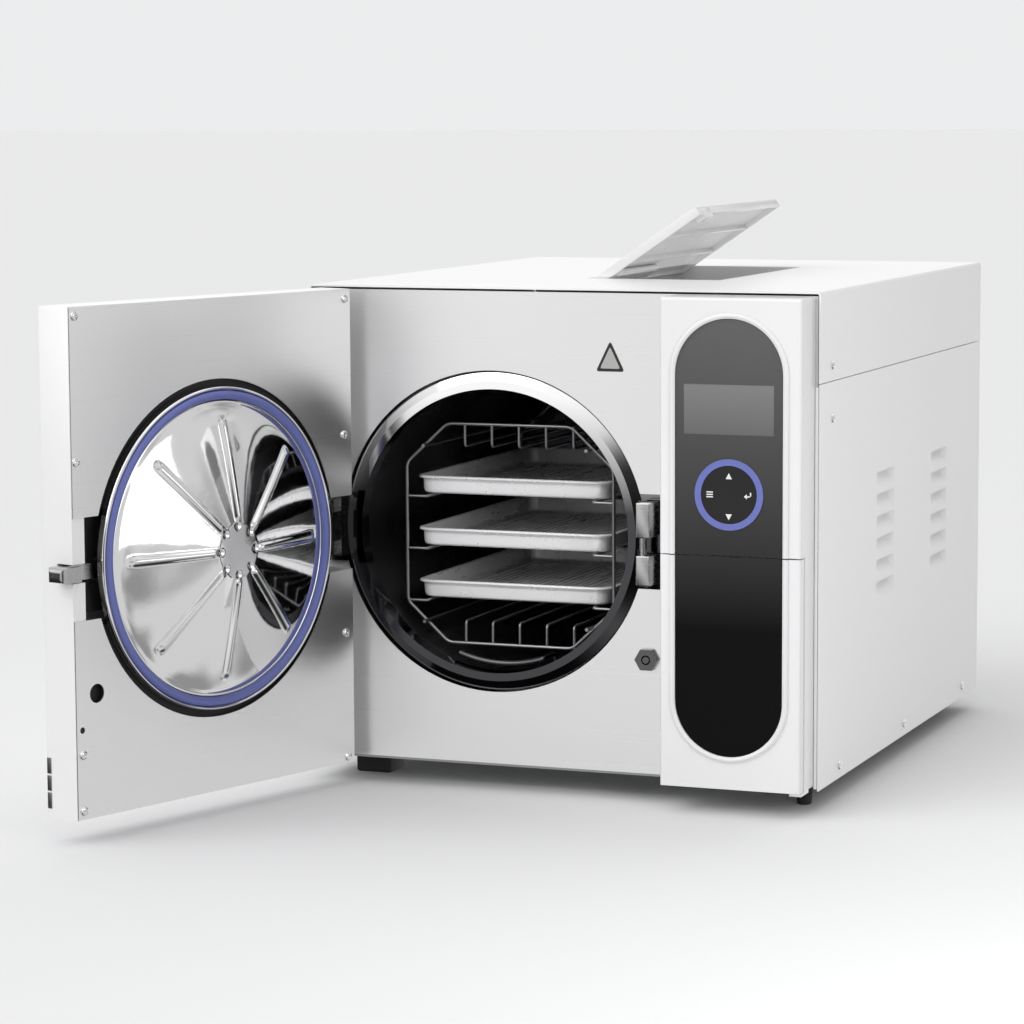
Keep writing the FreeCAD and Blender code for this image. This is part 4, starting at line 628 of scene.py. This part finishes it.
# (radius, height) from the foot of the head to its centre.
SCREW_PROFILE = [(3.55, 0.0), (3.6, 0.5), (3.3, 1.15), (2.6, 1.6), (1.9, 1.75), (1.2, 1.8),
                 (0.55, 1.8)]
RECESS_RADIUS, RECESS_CENTRE, RECESS_ARM, RECESS_DEPTH = 2.2, 0.8, 0.36, 1.1
DOOR_SCREWS = [(316.0, 393.0), (317.0, 281.0), (315.0, 53.5), (315.0, 9.5), (12.0, 392.0),
               (14.0, 279.0), (14.0, 113.0), (13.0, 7.6)]


def screw_head(spot, outwards, turned):
    """A pan head with a cross recess, its axis along the outward direction."""
    bm = bmesh.new()
    rows = []
    for radius, height in SCREW_PROFILE:
        row = []
        for a in full_turn(32):
            in_arm = radius < RECESS_RADIUS and abs(math.sin(2 * a)) < RECESS_ARM
            sunk = RECESS_DEPTH if in_arm or radius < RECESS_CENTRE else 0.0
            row.append(bm.verts.new((radius * math.cos(a), radius * math.sin(a),
                                     height - sunk)))
        rows.append(row)
    skin(bm, rows)
    bm.faces.new(rows[-1])
    bm.faces.new(rows[0][::-1])
    aim = Vector(outwards).to_track_quat("Z", "Y").to_matrix().to_4x4()
    bmesh.ops.transform(bm, verts=bm.verts, matrix=Matrix.Translation(spot) @ aim
                        @ Matrix.Rotation(turned, 4, "Z"))
    return to_mesh(bm, "head")


def screws():
    """All cover screws and all door screws, each set as one piece."""
    width = Extent("left_side_panel").x0, Extent("right_side_panel").x1
    heads = []
    for n, (y, z) in enumerate(SIDE_SCREWS):
        for x, outwards in zip(width, ((-1, 0, 0), (1, 0, 0))):
            heads.append(screw_head((x, y, z), outwards, 0.7 * n))
    finish_piece(joined(heads, "cover_screws"), "cover_screws", "cabinet", "polished",
                 stands_for=["case_screws"], smooth=25)
    heads = [screw_head((x, PLATE_FACE, z), (0, 1, 0), 0.9 * n)
             for n, (x, z) in enumerate(DOOR_SCREWS)]
    finish_piece(joined(heads, "plate_screws"), "plate_screws", "door", "polished", DOOR,
                 ["door_screws"], smooth=25)


# ---------------------------------------------------------------- chamber contents

WIRE = 1.5
RAIL = 1.3
RACK_CUT_X, RACK_CUT_Z = 37.0, 34.0
RACK_FRONT, RACK_BACK = 38.0, 306.0
SKID_AHEAD, SKID_BEHIND, SKID_INSET = 12, 4, 2.0
STUB = 18.5
STUB_PITCH = 24.3
STUB_SHIFT = 9.0
STUBS = 5
TRAY_GAP = 0.3


def rack():
    """The wire rack: two octagons, four skids, and the bent rails that carry trays."""
    box = Extent("rack")
    left, right = box.x0 + WIRE, box.x1 - WIRE
    bottom, top = box.z0 + WIRE, box.z1 - WIRE
    front, back = RACK_FRONT, RACK_BACK
    octagon = [(left + RACK_CUT_X, bottom), (right - RACK_CUT_X, bottom),
               (right, bottom + RACK_CUT_Z), (right, top - RACK_CUT_Z),
               (right - RACK_CUT_X, top), (left + RACK_CUT_X, top), (left, top - RACK_CUT_Z),
               (left, bottom + RACK_CUT_Z)]
    frames = [bend([(x, y, z) for x, z in octagon], 5.0, closed=True)
              for y in (front, back)]
    skids = []
    for n in (1, 3, 5, 7):
        (x1, z1), (x2, z2) = octagon[n], octagon[(n + 1) % 8]
        middle = Vector(((x1 + x2) / 2, 0, (z1 + z2) / 2))
        inward = (Vector((AXIS_X, 0, AXIS_Z)) - middle).normalized()
        point = middle + inward * SKID_INSET
        skids.append([(point.x, front - SKID_AHEAD, point.z),
                      (point.x, back + SKID_BEHIND, point.z)])
    rails = []

    def rail(root, reach):
        """A wire from a frame inwards, back along the chamber, and out to the other frame."""
        (x0, z0), (x, z) = root, reach
        rails.append(bend([(x0, front, z0), (x, front, z), (x, back, z), (x0, back, z0)], 3.0))

    for level in range(3):
        z = Extent(TRAYS[level]).z0 - RAIL - TRAY_GAP
        rail((left, z), (left + STUB, z))
        rail((right, z), (right - STUB, z))
    for n in range(STUBS):
        x = (left + right) / 2 + STUB_PITCH * (n - STUBS // 2) + STUB_SHIFT
        rail((x, bottom), (x, bottom + STUB))
        rail((x, top), (x, top - STUB))
    mesh = joined([wires("frames", frames + skids, WIRE), wires("rails", rails, RAIL)],
                  "tray_rack")
    finish_piece(mesh, "tray_rack", "rack", "dull_steel", stands_for=["rack"], smooth=50)


TRAYS = ("tray_top", "tray_middle", "tray_bottom")
TRAY_RIM = 4.0
TRAY_CORNER = 12.0
TRAY_SHEET = 0.7
# (inset, height): from the tray's top down the rolled rim, then from its bottom.
TRAY_LIP = [(0.0, -2.2), (0.0, -0.9), (0.5, -0.3), (1.2, 0.0), (3.0, 0.0), (3.8, -0.5),
            (4.1, -1.4)]
TRAY_FOOT = [(4.7, 4.0), (5.4, 2.0), (6.7, 1.1), (8.5, 0.8)]
FLOOR_MARGIN = 13.0
HOLE_PITCH = 6.4
HOLE_RADIUS = 2.1
HOLE_SIDES = 8


def rounded_rectangle(x0, x1, y0, y1, radius, steps=6):
    """Corner points of a rounded rectangle, anticlockwise from the right front."""
    points = []
    centres = ((x1 - radius, y0 + radius, -90), (x1 - radius, y1 - radius, 0),
               (x0 + radius, y1 - radius, 90), (x0 + radius, y0 + radius, 180))
    for x, y, start in centres:
        for i in range(steps + 1):
            a = math.radians(start + 90 * i / steps)
            points.append((x + radius * math.cos(a), y + radius * math.sin(a)))
    return points


def perforated_floor(bm, x0, x1, y0, y1, z):
    """Square cells with a round hole each, sharing their corners and sides.

    Returns the edges of the outline.
    """
    columns = int((x1 - x0) / HOLE_PITCH)
    rows = int((y1 - y0) / HOLE_PITCH)
    left = (x0 + x1 - columns * HOLE_PITCH) / 2
    front = (y0 + y1 - rows * HOLE_PITCH) / 2
    shared = {}

    def vert(x, y):
        key = (round(x * 50), round(y * 50))
        if key not in shared:
            shared[key] = bm.verts.new((x, y, z))
        return shared[key]

    half = HOLE_PITCH / 2
    for i in range(columns):
        for j in range(rows):
            cx, cy = left + HOLE_PITCH * (i + 0.5), front + HOLE_PITCH * (j + 0.5)
            hole, side = [], []
            for a in full_turn(HOLE_SIDES):
                c, s = math.cos(a), math.sin(a)
                stretch = half / max(abs(c), abs(s))
                hole.append(bm.verts.new((cx + HOLE_RADIUS * c, cy + HOLE_RADIUS * s, z)))
                side.append(vert(cx + stretch * c, cy + stretch * s))
            for n in range(HOLE_SIDES):
                m = (n + 1) % HOLE_SIDES
                bm.faces.new((side[n], side[m], hole[m], hole[n]))
    inside = (left, left + columns * HOLE_PITCH, front, front + rows * HOLE_PITCH)
    return [edge for edge in bm.edges if edge.is_boundary and on_border(edge, inside)]


def on_border(edge, border):
    """True where an edge lies on the outline of a rectangle."""
    x0, x1, y0, y1 = border
    middle = (edge.verts[0].co + edge.verts[1].co) / 2
    return (min(abs(middle.x - x0), abs(middle.x - x1)) < 0.01
            or min(abs(middle.y - y0), abs(middle.y - y1)) < 0.01)


def tray(node):
    """A pressed tray: rolled rim, sloping wall, rounded foot and perforated floor."""
    box = Extent(node)
    profile = [(inset, box.z1 + height) for inset, height in TRAY_LIP]
    profile += [(inset, box.z0 + height) for inset, height in TRAY_FOOT]
    bm = bmesh.new()
    loops = []
    for inset, z in profile:
        outline = rounded_rectangle(box.x0 + inset, box.x1 - inset, box.y0 + inset,
                                    box.y1 - inset, TRAY_CORNER + TRAY_RIM - inset)
        loops.append([bm.verts.new((x, y, z)) for x, y in outline])
    skin(bm, loops)
    last = loops[-1]
    rim = [bm.edges.get(pair) for pair in zip(last, last[1:] + last[:1])]
    border = perforated_floor(bm, box.x0 + FLOOR_MARGIN, box.x1 - FLOOR_MARGIN,
                              box.y0 + FLOOR_MARGIN, box.y1 - FLOOR_MARGIN, profile[-1][1])
    bmesh.ops.triangle_fill(bm, use_beauty=True, edges=rim + border)
    mesh = to_mesh(bm, node + "_pan")
    obj = finish_piece(mesh, node + "_pan", node_body(node), "tray_metal",
                       stands_for=[node], smooth=30)
    thicken(obj, TRAY_SHEET)


def node_body(node):
    """The body that a CAD node belongs to."""
    return next(body for body, members in frame["record"]["behaviour"]["bodies"].items()
                if node in members)


# ---------------------------------------------------------------- right side panel

LOUVRE_LOWEST = 132.5
LOUVRE_PITCH = 18.7
LOUVRE_HEIGHT = 15.0
LOUVRE_DEPTH = 5.6
LOUVRE_COLUMNS = [(171.5, 228.0), (352.6, 408.5)]
LOUVRE_ROWS = 6
SCOOP_STEPS_Y, SCOOP_STEPS_Z = 14, 8
PANEL_SHEET = 1.5
PANEL_EDGE = 0.4
RETURN_FRONT, RETURN_BACK = -1.6, -0.1
RETURN_GAP, RETURN_ENDS = 0.3, 2


def side_panel():
    """The painted sheet, with its louvres pressed inwards as smooth scoops."""
    box = Extent("right_side_panel")
    bm = bmesh.new()
    face = box.x1
    shared = {}

    def vert(y, z, x=face):
        key = (round(x * 100), round(y * 100), round(z * 100))
        if key not in shared:
            shared[key] = bm.verts.new((x, y, z))
        return shared[key]

    steps_y, steps_z = SCOOP_STEPS_Y, SCOOP_STEPS_Z

    def scoop(y0, y1, z0, z1):
        """One louvre: flush at its foot and sides, deepest at the slot at its top."""
        def depth(i, j):
            u, v = 2 * i / steps_y - 1, j / steps_z
            return LOUVRE_DEPTH * ease(v * 1.15) * (1 - abs(u) ** 5) if v > 0 else 0.0
        grid = [[vert(y0 + (y1 - y0) * i / steps_y, z0 + (z1 - z0) * j / steps_z,
                      face - depth(i, j)) for j in range(steps_z + 1)]
                for i in range(steps_y + 1)]
        for i in range(steps_y):
            for j in range(steps_z):
                corners = (grid[i][j], grid[i + 1][j], grid[i + 1][j + 1], grid[i][j + 1])
                bm.faces.new(corners)

    rows = [(LOUVRE_LOWEST + LOUVRE_PITCH * n, LOUVRE_LOWEST + LOUVRE_PITCH * n + LOUVRE_HEIGHT)
            for n in range(LOUVRE_ROWS)]
    ys, zs = [box.y0], [box.z0]
    for y0, y1 in LOUVRE_COLUMNS:
        ys += [y0 + (y1 - y0) * i / steps_y for i in range(steps_y + 1)]
    for z0, z1 in rows:
        zs += [z0 + (z1 - z0) * j / steps_z for j in range(steps_z + 1)]
    ys, zs = ys + [box.y1], zs + [box.z1]
    for y0, y1 in zip(ys, ys[1:]):
        for z0, z1 in zip(zs, zs[1:]):
            middle_y, middle_z = (y0 + y1) / 2, (z0 + z1) / 2
            in_column = any(a < middle_y < b for a, b in LOUVRE_COLUMNS)
            in_row = any(a < middle_z < b for a, b in rows)
            if not (in_column and in_row):
                bm.faces.new((vert(y0, z0), vert(y1, z0), vert(y1, z1), vert(y0, z1)))
    flat = set(bm.faces)
    for y0, y1 in LOUVRE_COLUMNS:
        for z0, z1 in rows:
            scoop(y0, y1, z0, z1)
    for sheet in bm.faces:
        sheet.normal_update()
        sheet.smooth = sheet not in flat
        if sheet.normal.x < 0:
            sheet.normal_flip()
    mesh = bpy.data.meshes.new("louvred_side")
    bm.to_mesh(mesh)
    bm.free()
    obj = finish_piece(mesh, "louvred_side", "cabinet", "white_paint",
                       stands_for=["right_side_panel"], smooth=0)
    thicken(obj, PANEL_SHEET)
    soften = obj.modifiers.new("edges", "BEVEL")
    soften.width = PANEL_EDGE * MM
    soften.segments = 2
    soften.limit_method = "ANGLE"
    soften.angle_limit = math.radians(60)


def side_return():
    """The side panel's front edge, folded in beside the fascia."""
    panel, fascia = Extent("right_side_panel"), Extent("fascia_frame")
    bm = bmesh.new()
    block(bm, (fascia.x1 + RETURN_GAP, RETURN_FRONT, panel.z0 + RETURN_ENDS),
          (panel.x1 - PANEL_SHEET + 0.05, RETURN_BACK, panel.z1 - RETURN_ENDS), 0.5)
    finish_piece(to_mesh(bm, "side_return"), "side_return", "cabinet", "white_paint")


# ---------------------------------------------------------------- water lid

LID_SKIN = 2.4
LID_TUCK = 0.4
LID_STAGGER = 0.1
HINGE_WALL = 5.0
RIB_WALL = 1.2
WALL_OVERLAP = 0.8
GROOVE_PITCH = 7.0
GROOVE_DEPTH = 1.1
# Offsets of two corners: the finger tab's from the lid's high X and low Y and Z, and the
# hinge boss's from its low corner.
TAB_LOW, TAB_HIGH, TAB_TOP = (-10.0, 12.0, -3.0), (0.3, 34.0), -1.5
BOSS_LOW, BOSS_HIGH = (8.0, 16.0, -1.5), (24.0, 112.0, 4.0)


def shut_extent(node, place):
    """A node's box with its hinge shut, in the cabinet's frame."""
    to_local = place.inverted()
    points = [to_local @ vert.co for vert in nodes[node].data.vertices]
    low = Vector(min(point[i] for point in points) for i in range(3))
    high = Vector(max(point[i] for point in points) for i in range(3))
    return low, high


def water_lid():
    """The lid: rounded top, two ribs, fine grooves and a boss below, and a finger tab."""
    low, high = shut_extent("hatch_lid", LID)
    bm = bmesh.new()
    roof = high.z - LID_SKIN
    block(bm, (low.x, low.y, roof), high, 0.9)
    # The cross walls stop short of the long ones, and each starts a little higher than the
    # one before, so that no two faces share a plane.
    near, far = low.y + LID_TUCK, high.y - LID_TUCK
    walls = [((low.x, low.y), (high.x, low.y + LID_SKIN)),
             ((low.x, high.y - LID_SKIN), (high.x, high.y)),
             ((high.x - LID_SKIN, near), (high.x - LID_TUCK / 4, far)),
             ((low.x + LID_TUCK, near), (low.x + HINGE_WALL, far))]
    for n in (1, 2):
        x = low.x + (high.x - low.x) / 3 * n
        walls.append(((x - RIB_WALL, near), (x + RIB_WALL, far)))
    for n, ((x0, y0), (x1, y1)) in enumerate(walls):
        block(bm, (x0, y0, low.z + LID_STAGGER * n), (x1, y1, roof + WALL_OVERLAP), 0.5)
    for n in range(int((high.y - low.y - 8) / GROOVE_PITCH)):
        y = low.y + 6 + GROOVE_PITCH * n
        block(bm, (low.x + 3, y, roof - GROOVE_DEPTH),
              (high.x - 1.5, y + GROOVE_PITCH * 0.5, roof + 0.4), 0.3)
    free = Vector((high.x, low.y, low.z))
    tab_x, tab_y = TAB_HIGH
    block(bm, free + Vector(TAB_LOW), (free.x + tab_x, free.y + tab_y, high.z + TAB_TOP), 1.4)
    block(bm, low + Vector(BOSS_LOW), low + Vector(BOSS_HIGH), 2.4)
    finish_piece(to_mesh(bm, "tank_lid"), "tank_lid", "water_lid", "white_plastic", LID,
                 ["hatch_lid"])


# ---------------------------------------------------------------- fascia

RIM_WIDTH = 4.5
RIM_RISE = 2.2
RIM_STEPS = 8
RIM_ROOT = 0.4
FASCIA_CROWN = 1.2


def pill_outline(x, radius, z_flat, z_round, steps=32):
    """From one flat end, up a side, round the arch and down the other side."""
    up = 1 if z_round > z_flat else -1
    centre = z_round - up * radius
    arch = [(x + radius * math.cos(a), centre + up * radius * math.sin(a))
            for a in (math.pi * i / steps for i in range(steps + 1))]
    return [(x + radius, z_flat)] + arch + [(x - radius, z_flat)]


def window_rim(name, body, node):
    """The rounded white rim round one half of the long black window."""
    pane = Extent(node)
    fascia = Extent("fascia_frame")
    upper = node == "display_window"
    flat, tip = (pane.z0, pane.z1) if upper else (pane.z1, pane.z0)
    face = fascia.y0 + FASCIA_CROWN
    inner = (pane.x1 - pane.x0) / 2
    bm = bmesh.new()
    rows = []
    up = 1 if upper else -1
    for i in range(RIM_STEPS + 1):
        a = math.pi * i / RIM_STEPS
        grow = RIM_WIDTH / 2 * (1 - math.cos(a))
        y = face - RIM_RISE * math.sin(a)
        outline = pill_outline(pane.x, inner + grow, flat, tip + up * grow)
        rows.append([bm.verts.new((x, y, z)) for x, z in outline])
    rows += [[bm.verts.new((v.co.x, face + RIM_ROOT, v.co.z)) for v in row]
             for row in (rows[-1], rows[0])]
    count = len(rows[0])
    for n, row in enumerate(rows):
        following = rows[(n + 1) % len(rows)]
        for i in range(count - 1):
            bm.faces.new((row[i], row[i + 1], following[i + 1], following[i]))
    for end in (0, -1):
        bm.faces.new([row[end] for row in rows])
    finish_piece(to_mesh(bm, name), name, body, "white_plastic", smooth=50)


# Outlines of (X, Z) from the keypad's middle.
ARROWS = [[(-2.6, 12.6), (2.6, 12.6), (0.0, 17.4)],
          [(-2.6, -15.4), (0.0, -20.2), (2.6, -15.4)]]
MENU_BARS = [[(-18.6, low), (-13.2, low), (-13.2, low + 0.95), (-18.6, low + 0.95)]
             for low in (-2.4, -0.5, 1.4)]
RETURN_SIGN = [(12.6, -1.0), (15.0, -3.1), (15.0, -1.5), (17.6, -1.5), (17.6, 2.4),
               (18.6, 2.4), (18.6, -0.5), (15.0, -0.5), (15.0, 1.1)]


def keypad_marks():
    """Printed marks on the keypad: arrows, a menu sign and a return sign."""
    pad = Extent("nav_pad")
    outlines = [[(pad.x + x, pad.z + z) for x, z in outline]
                for outline in ARROWS + MENU_BARS + [RETURN_SIGN]]
    mesh = sheet_metal("keypad_marks", outlines, pad.y0 - 0.12, pad.y0 + 0.05, 0.02)
    finish_piece(mesh, "keypad_marks", "keypad", "white_plastic", smooth=0)


# ---------------------------------------------------------------- front panel fittings


SIGN_X, SIGN_TOP, SIGN_FOOT, SIGN_HALF = 267.7, 360.0, 335.0, 12.3
SIGN_CORNER = 3.0
SIGN_FIELD = 0.72
BLOCK_HEIGHTS = ((162.7, 187.4), (201.8, 230.6))
BLOCK_FOOT = 4.2
STRIKER_PIN = (299.4, -10)
PIN_PROFILE = [(3.0, 187.2), (3.0, 202.2)]
# Where the block under the door's hinge stands, and the middles of the round feet.
CORNER_FOOT = ((21.0, 40.0), (53.0, 72.0))
ROUND_FEET = ((423.0, 35.0), (45.0, 480.0), (400.0, 480.0))
FOOT_TOP = 3.0


def blank_sign():
    """A blank three-cornered plate, framed in dark grey."""
    corners = [(SIGN_X - SIGN_HALF, 0, SIGN_FOOT), (SIGN_X + SIGN_HALF, 0, SIGN_FOOT),
               (SIGN_X, 0, SIGN_TOP)]
    outer = [(p.x, p.z) for p in bend(corners, SIGN_CORNER, closed=True)[:-1]]
    centre = SIGN_FOOT + (SIGN_TOP - SIGN_FOOT) / 3
    inner = [(SIGN_X + (x - SIGN_X) * SIGN_FIELD, centre + (z - centre) * SIGN_FIELD)
             for x, z in outer]
    finish_piece(sheet_metal("sign_frame", [outer, inner], -0.45, 0.0, 0.1), "sign_frame",
                 "cabinet", "black_plastic")
    finish_piece(sheet_metal("sign_field", [inner], -0.35, 0.0, 0.1), "sign_field",
                 "cabinet", "machined_steel")


def striker():
    """Two steel blocks with eased edges, and the pin between them."""
    box = Extent("door_striker")
    bm = bmesh.new()
    for z0, z1 in BLOCK_HEIGHTS:
        block(bm, (box.x0, box.y0, z0), (box.x1, box.y1 - BLOCK_FOOT, z1), 1.0)
        block(bm, (box.x0 + 3.5, box.y1 - 5.5, z0 + 1), (box.x1 - 1, box.y1 - 0.2, z1 - 1), 0.4)
    upright_lathe(bm, PIN_PROFILE, *STRIKER_PIN, 32)
    finish_piece(to_mesh(bm, "striker_blocks"), "striker_blocks", "cabinet",
                 "machined_steel", stands_for=["door_striker"])


def rounded_feet():
    """Rubber feet with softened soles."""
    box = Extent("feet")
    bm = bmesh.new()
    low, high = CORNER_FOOT
    block(bm, (*low, box.z0), (*high, FOOT_TOP), 2.2)
    profile = [(4.8, box.z0), (6.0, box.z0 + 0.8), (6.6, box.z0 + 6), (8.0, FOOT_TOP)]
    for x, y in ROUND_FEET:
        upright_lathe(bm, profile, x, y, 40)
    finish_piece(to_mesh(bm, "rubber_feet"), "rubber_feet", "cabinet", "rubber",
                 stands_for=["feet"])


for build in (door_disc, door_gasket, door_shade_backing, edge_strip, screws, rack, side_panel,
              side_return, water_lid, keypad_marks, blank_sign, striker, rounded_feet):
    build()
for tray_node in TRAYS:
    tray(tray_node)
window_rim("rim_upper", "cabinet", "display_window")
window_rim("rim_lower", "service_hatch", "service_window")

# ---------------------------------------------------------------- stage, light, camera


FLOOR_REACH = 60.0


def floor():
    """A plain pale floor, which reflections leave out."""
    pale = material("floor", (0.762, 0.764, 0.77), 0.995, rough=(0.85, 0.95), bump=0.02,
                    Specular_IOR_Level=0.0)
    bm = bmesh.new()
    bm.faces.new([bm.verts.new((x * FLOOR_REACH, y * FLOOR_REACH, 0.0)) for x, y in
                  ((-1, -1), (1, -1), (1, 1), (-1, 1))])
    mesh = bpy.data.meshes.new("floor")
    bm.to_mesh(mesh)
    bm.free()
    mesh.materials.append(pale)
    obj = bpy.data.objects.new("floor", mesh)
    bpy.context.scene.collection.objects.link(obj)
    obj.visible_glossy = False


def soft_sun(name, bearing, height, spread, strength):
    """Even soft light from a compass bearing (0 along +X) and a height, in degrees."""
    lamp = bpy.data.lights.new(name, "SUN")
    lamp.angle = math.radians(spread)
    lamp.energy = strength
    obj = bpy.data.objects.new(name, lamp)
    a, h = math.radians(bearing), math.radians(height)
    source = Vector((math.cos(a) * math.cos(h), math.sin(a) * math.cos(h), math.sin(h)))
    obj.rotation_euler = source.to_track_quat("Z", "Y").to_euler()
    bpy.context.scene.collection.objects.link(obj)


def softbox(name, place, aim, size, power, glossy):
    """A bright panel that faces the machine, seen in reflections or lighting surfaces."""
    lamp = bpy.data.lights.new(name, "AREA")
    lamp.shape = "RECTANGLE"
    lamp.size, lamp.size_y = size
    lamp.energy = power
    obj = bpy.data.objects.new(name, lamp)
    obj.location = place
    obj.rotation_euler = (Vector(aim) - Vector(place)).to_track_quat("-Z", "Y").to_euler()
    obj.visible_glossy = glossy
    obj.visible_diffuse = not glossy
    bpy.context.scene.collection.objects.link(obj)
    return obj


BEAM_FROM = (-0.45, -1.25, 0.85)
BEAM_POWER, BEAM_ANGLE = 70.0, 9.0


def chamber_light():
    """A narrow beam from high in front, which lights the trays through the chamber's mouth."""
    mouth = sum(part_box("vessel_flange"), Vector()) / 2
    lamp = bpy.data.lights.new("chamber", "SPOT")
    lamp.energy = BEAM_POWER
    lamp.spot_size = math.radians(BEAM_ANGLE)
    lamp.spot_blend = 0.6
    lamp.shadow_soft_size = 0.12
    obj = bpy.data.objects.new("chamber", lamp)
    obj.location = mouth + Vector(BEAM_FROM)
    obj.rotation_euler = (mouth - obj.location).to_track_quat("-Z", "Y").to_euler()
    obj.visible_glossy = False
    bpy.context.scene.collection.objects.link(obj)


BACKDROP = (0.84, 0.845, 0.852, 1)
# The room brightens along a direction, between two shares of it.
ROOM_AXIS, ROOM_SHARES, ROOM_LEVELS = (0.6, 0.0, 1.0), (-0.66, -0.32), (0.03, 1.1)
# A dark flag in front, by compass bearing and height, keeps glare off the steel.
FLAG_BEARING, FLAG_HEIGHT = -73.0, -5.0
FLAG_SHARES, FLAG_LEVELS = (0.9, 0.97), (1.0, 0.06)
# The right side gets less light than the front, but reflections don't fall below a level.
SHADE_SHARES, SHADE_LEVELS = (0.2, 1.0), (1.0, 0.22)
GLOSSY_LEVEL = 0.62
# Soft patches, as from panels and walls.
PATCH_SCALE, PATCH_SHARES, PATCH_LEVELS = 2.6, (0.36, 0.5), (0.45, 1.0)


def room():
    """A bright room that lights and mirrors, behind a backdrop that only the camera sees."""
    world = bpy.data.worlds.new("studio")
    bpy.context.scene.world = world
    world.use_nodes = True
    tree = world.node_tree
    new, link = tree.nodes.new, tree.links.new
    backdrop = tree.nodes["Background"]
    backdrop.inputs["Color"].default_value = BACKDROP
    towards = new("ShaderNodeTexCoord").outputs["Generated"]

    def ramp(value, shares, levels):
        """A smooth step between two levels."""
        node = new("ShaderNodeMapRange")
        node.interpolation_type = "SMOOTHSTEP"
        node.inputs["From Min"].default_value, node.inputs["From Max"].default_value = shares
        node.inputs["To Min"].default_value, node.inputs["To Max"].default_value = levels
        link(value, node.inputs["Value"])
        return node.outputs["Result"]

    def along(vector, shares, levels):
        """A level that follows the direction's share along a vector."""
        dot = new("ShaderNodeVectorMath")
        dot.operation = "DOT_PRODUCT"
        dot.inputs[1].default_value = vector
        link(towards, dot.inputs[0])
        return ramp(dot.outputs["Value"], shares, levels)

    def combined(operation, first, second):
        node = new("ShaderNodeMath")
        node.operation = operation
        link(first, node.inputs[0])
        link(second, node.inputs[1])
        return node.outputs["Value"]

    a, h = math.radians(FLAG_BEARING), math.radians(FLAG_HEIGHT)
    flag = (math.cos(a) * math.cos(h), math.sin(a) * math.cos(h), math.sin(h))
    level = along(ROOM_AXIS, ROOM_SHARES, ROOM_LEVELS)
    level = combined("MULTIPLY", level, along(flag, FLAG_SHARES, FLAG_LEVELS))
    path = new("ShaderNodeLightPath").outputs
    in_mirror = new("ShaderNodeMapRange")
    in_mirror.inputs["To Max"].default_value = GLOSSY_LEVEL
    link(path["Is Glossy Ray"], in_mirror.inputs["Value"])
    shaded = combined("MAXIMUM", along((1.0, 0.0, 0.0), SHADE_SHARES, SHADE_LEVELS),
                      in_mirror.outputs["Result"])
    level = combined("MULTIPLY", level, shaded)
    patches = new("ShaderNodeTexNoise")
    patches.inputs["Scale"].default_value = PATCH_SCALE
    link(towards, patches.inputs["Vector"])
    level = combined("MULTIPLY", level,
                     ramp(patches.outputs["Fac"], PATCH_SHARES, PATCH_LEVELS))
    walls = new("ShaderNodeBackground")
    link(level, walls.inputs["Color"])
    chosen = new("ShaderNodeMixShader")
    link(path["Is Camera Ray"], chosen.inputs["Fac"])
    link(walls.outputs["Background"], chosen.inputs[1])
    link(backdrop.outputs["Background"], chosen.inputs[2])
    link(chosen.outputs["Shader"], tree.nodes["World Output"].inputs["Surface"])


def lamps():
    """Two soft suns, panels for the right side, and a glow under the water lid."""
    soft_sun("key", -128, 38, 50, 0.85)
    soft_sun("top", 20, 78, 60, 0.2)
    softbox("right", (1.5, -0.4, 0.5), (0.25, -0.1, 0.3), (0.8, 0.8), 1.9, True)
    softbox("side", (0.95, -0.95, 0.5), (0.27, 0.0, 0.3), (0.5, 0.5), 3.6, False)
    low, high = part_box("hatch_frame")
    middle = (low + high) / 2
    glow = softbox("bounce", (middle.x, middle.y, high.z + 0.002),
                   (middle.x, middle.y, high.z + 1.0), (high.x - low.x, high.y - low.y), 0.05,
                   False)
    glow.visible_camera = False
    chamber_light()


CAMERA_PLACE = (1.03776, -2.76111, 0.57204)
CAMERA_YAW, CAMERA_PITCH, CAMERA_ROLL = 21.31, 6.75, -0.30
CAMERA_LENS = 122.2


def camera():
    """From in front of the machine, to its right and a little above it."""
    seen = bpy.data.cameras.new("camera")
    seen.lens = CAMERA_LENS
    seen.sensor_width = 36.0
    obj = bpy.data.objects.new("camera", seen)
    turn = (Matrix.Rotation(math.radians(CAMERA_YAW), 4, "Z")
            @ Matrix.Rotation(math.radians(90 - CAMERA_PITCH), 4, "X")
            @ Matrix.Rotation(math.radians(CAMERA_ROLL), 4, "Z"))
    obj.matrix_world = Matrix.Translation(CAMERA_PLACE) @ turn
    bpy.context.scene.collection.objects.link(obj)
    bpy.context.scene.camera = obj


floor()
room()
lamps()
camera()
bpy.context.scene.view_settings.view_transform = "Standard"
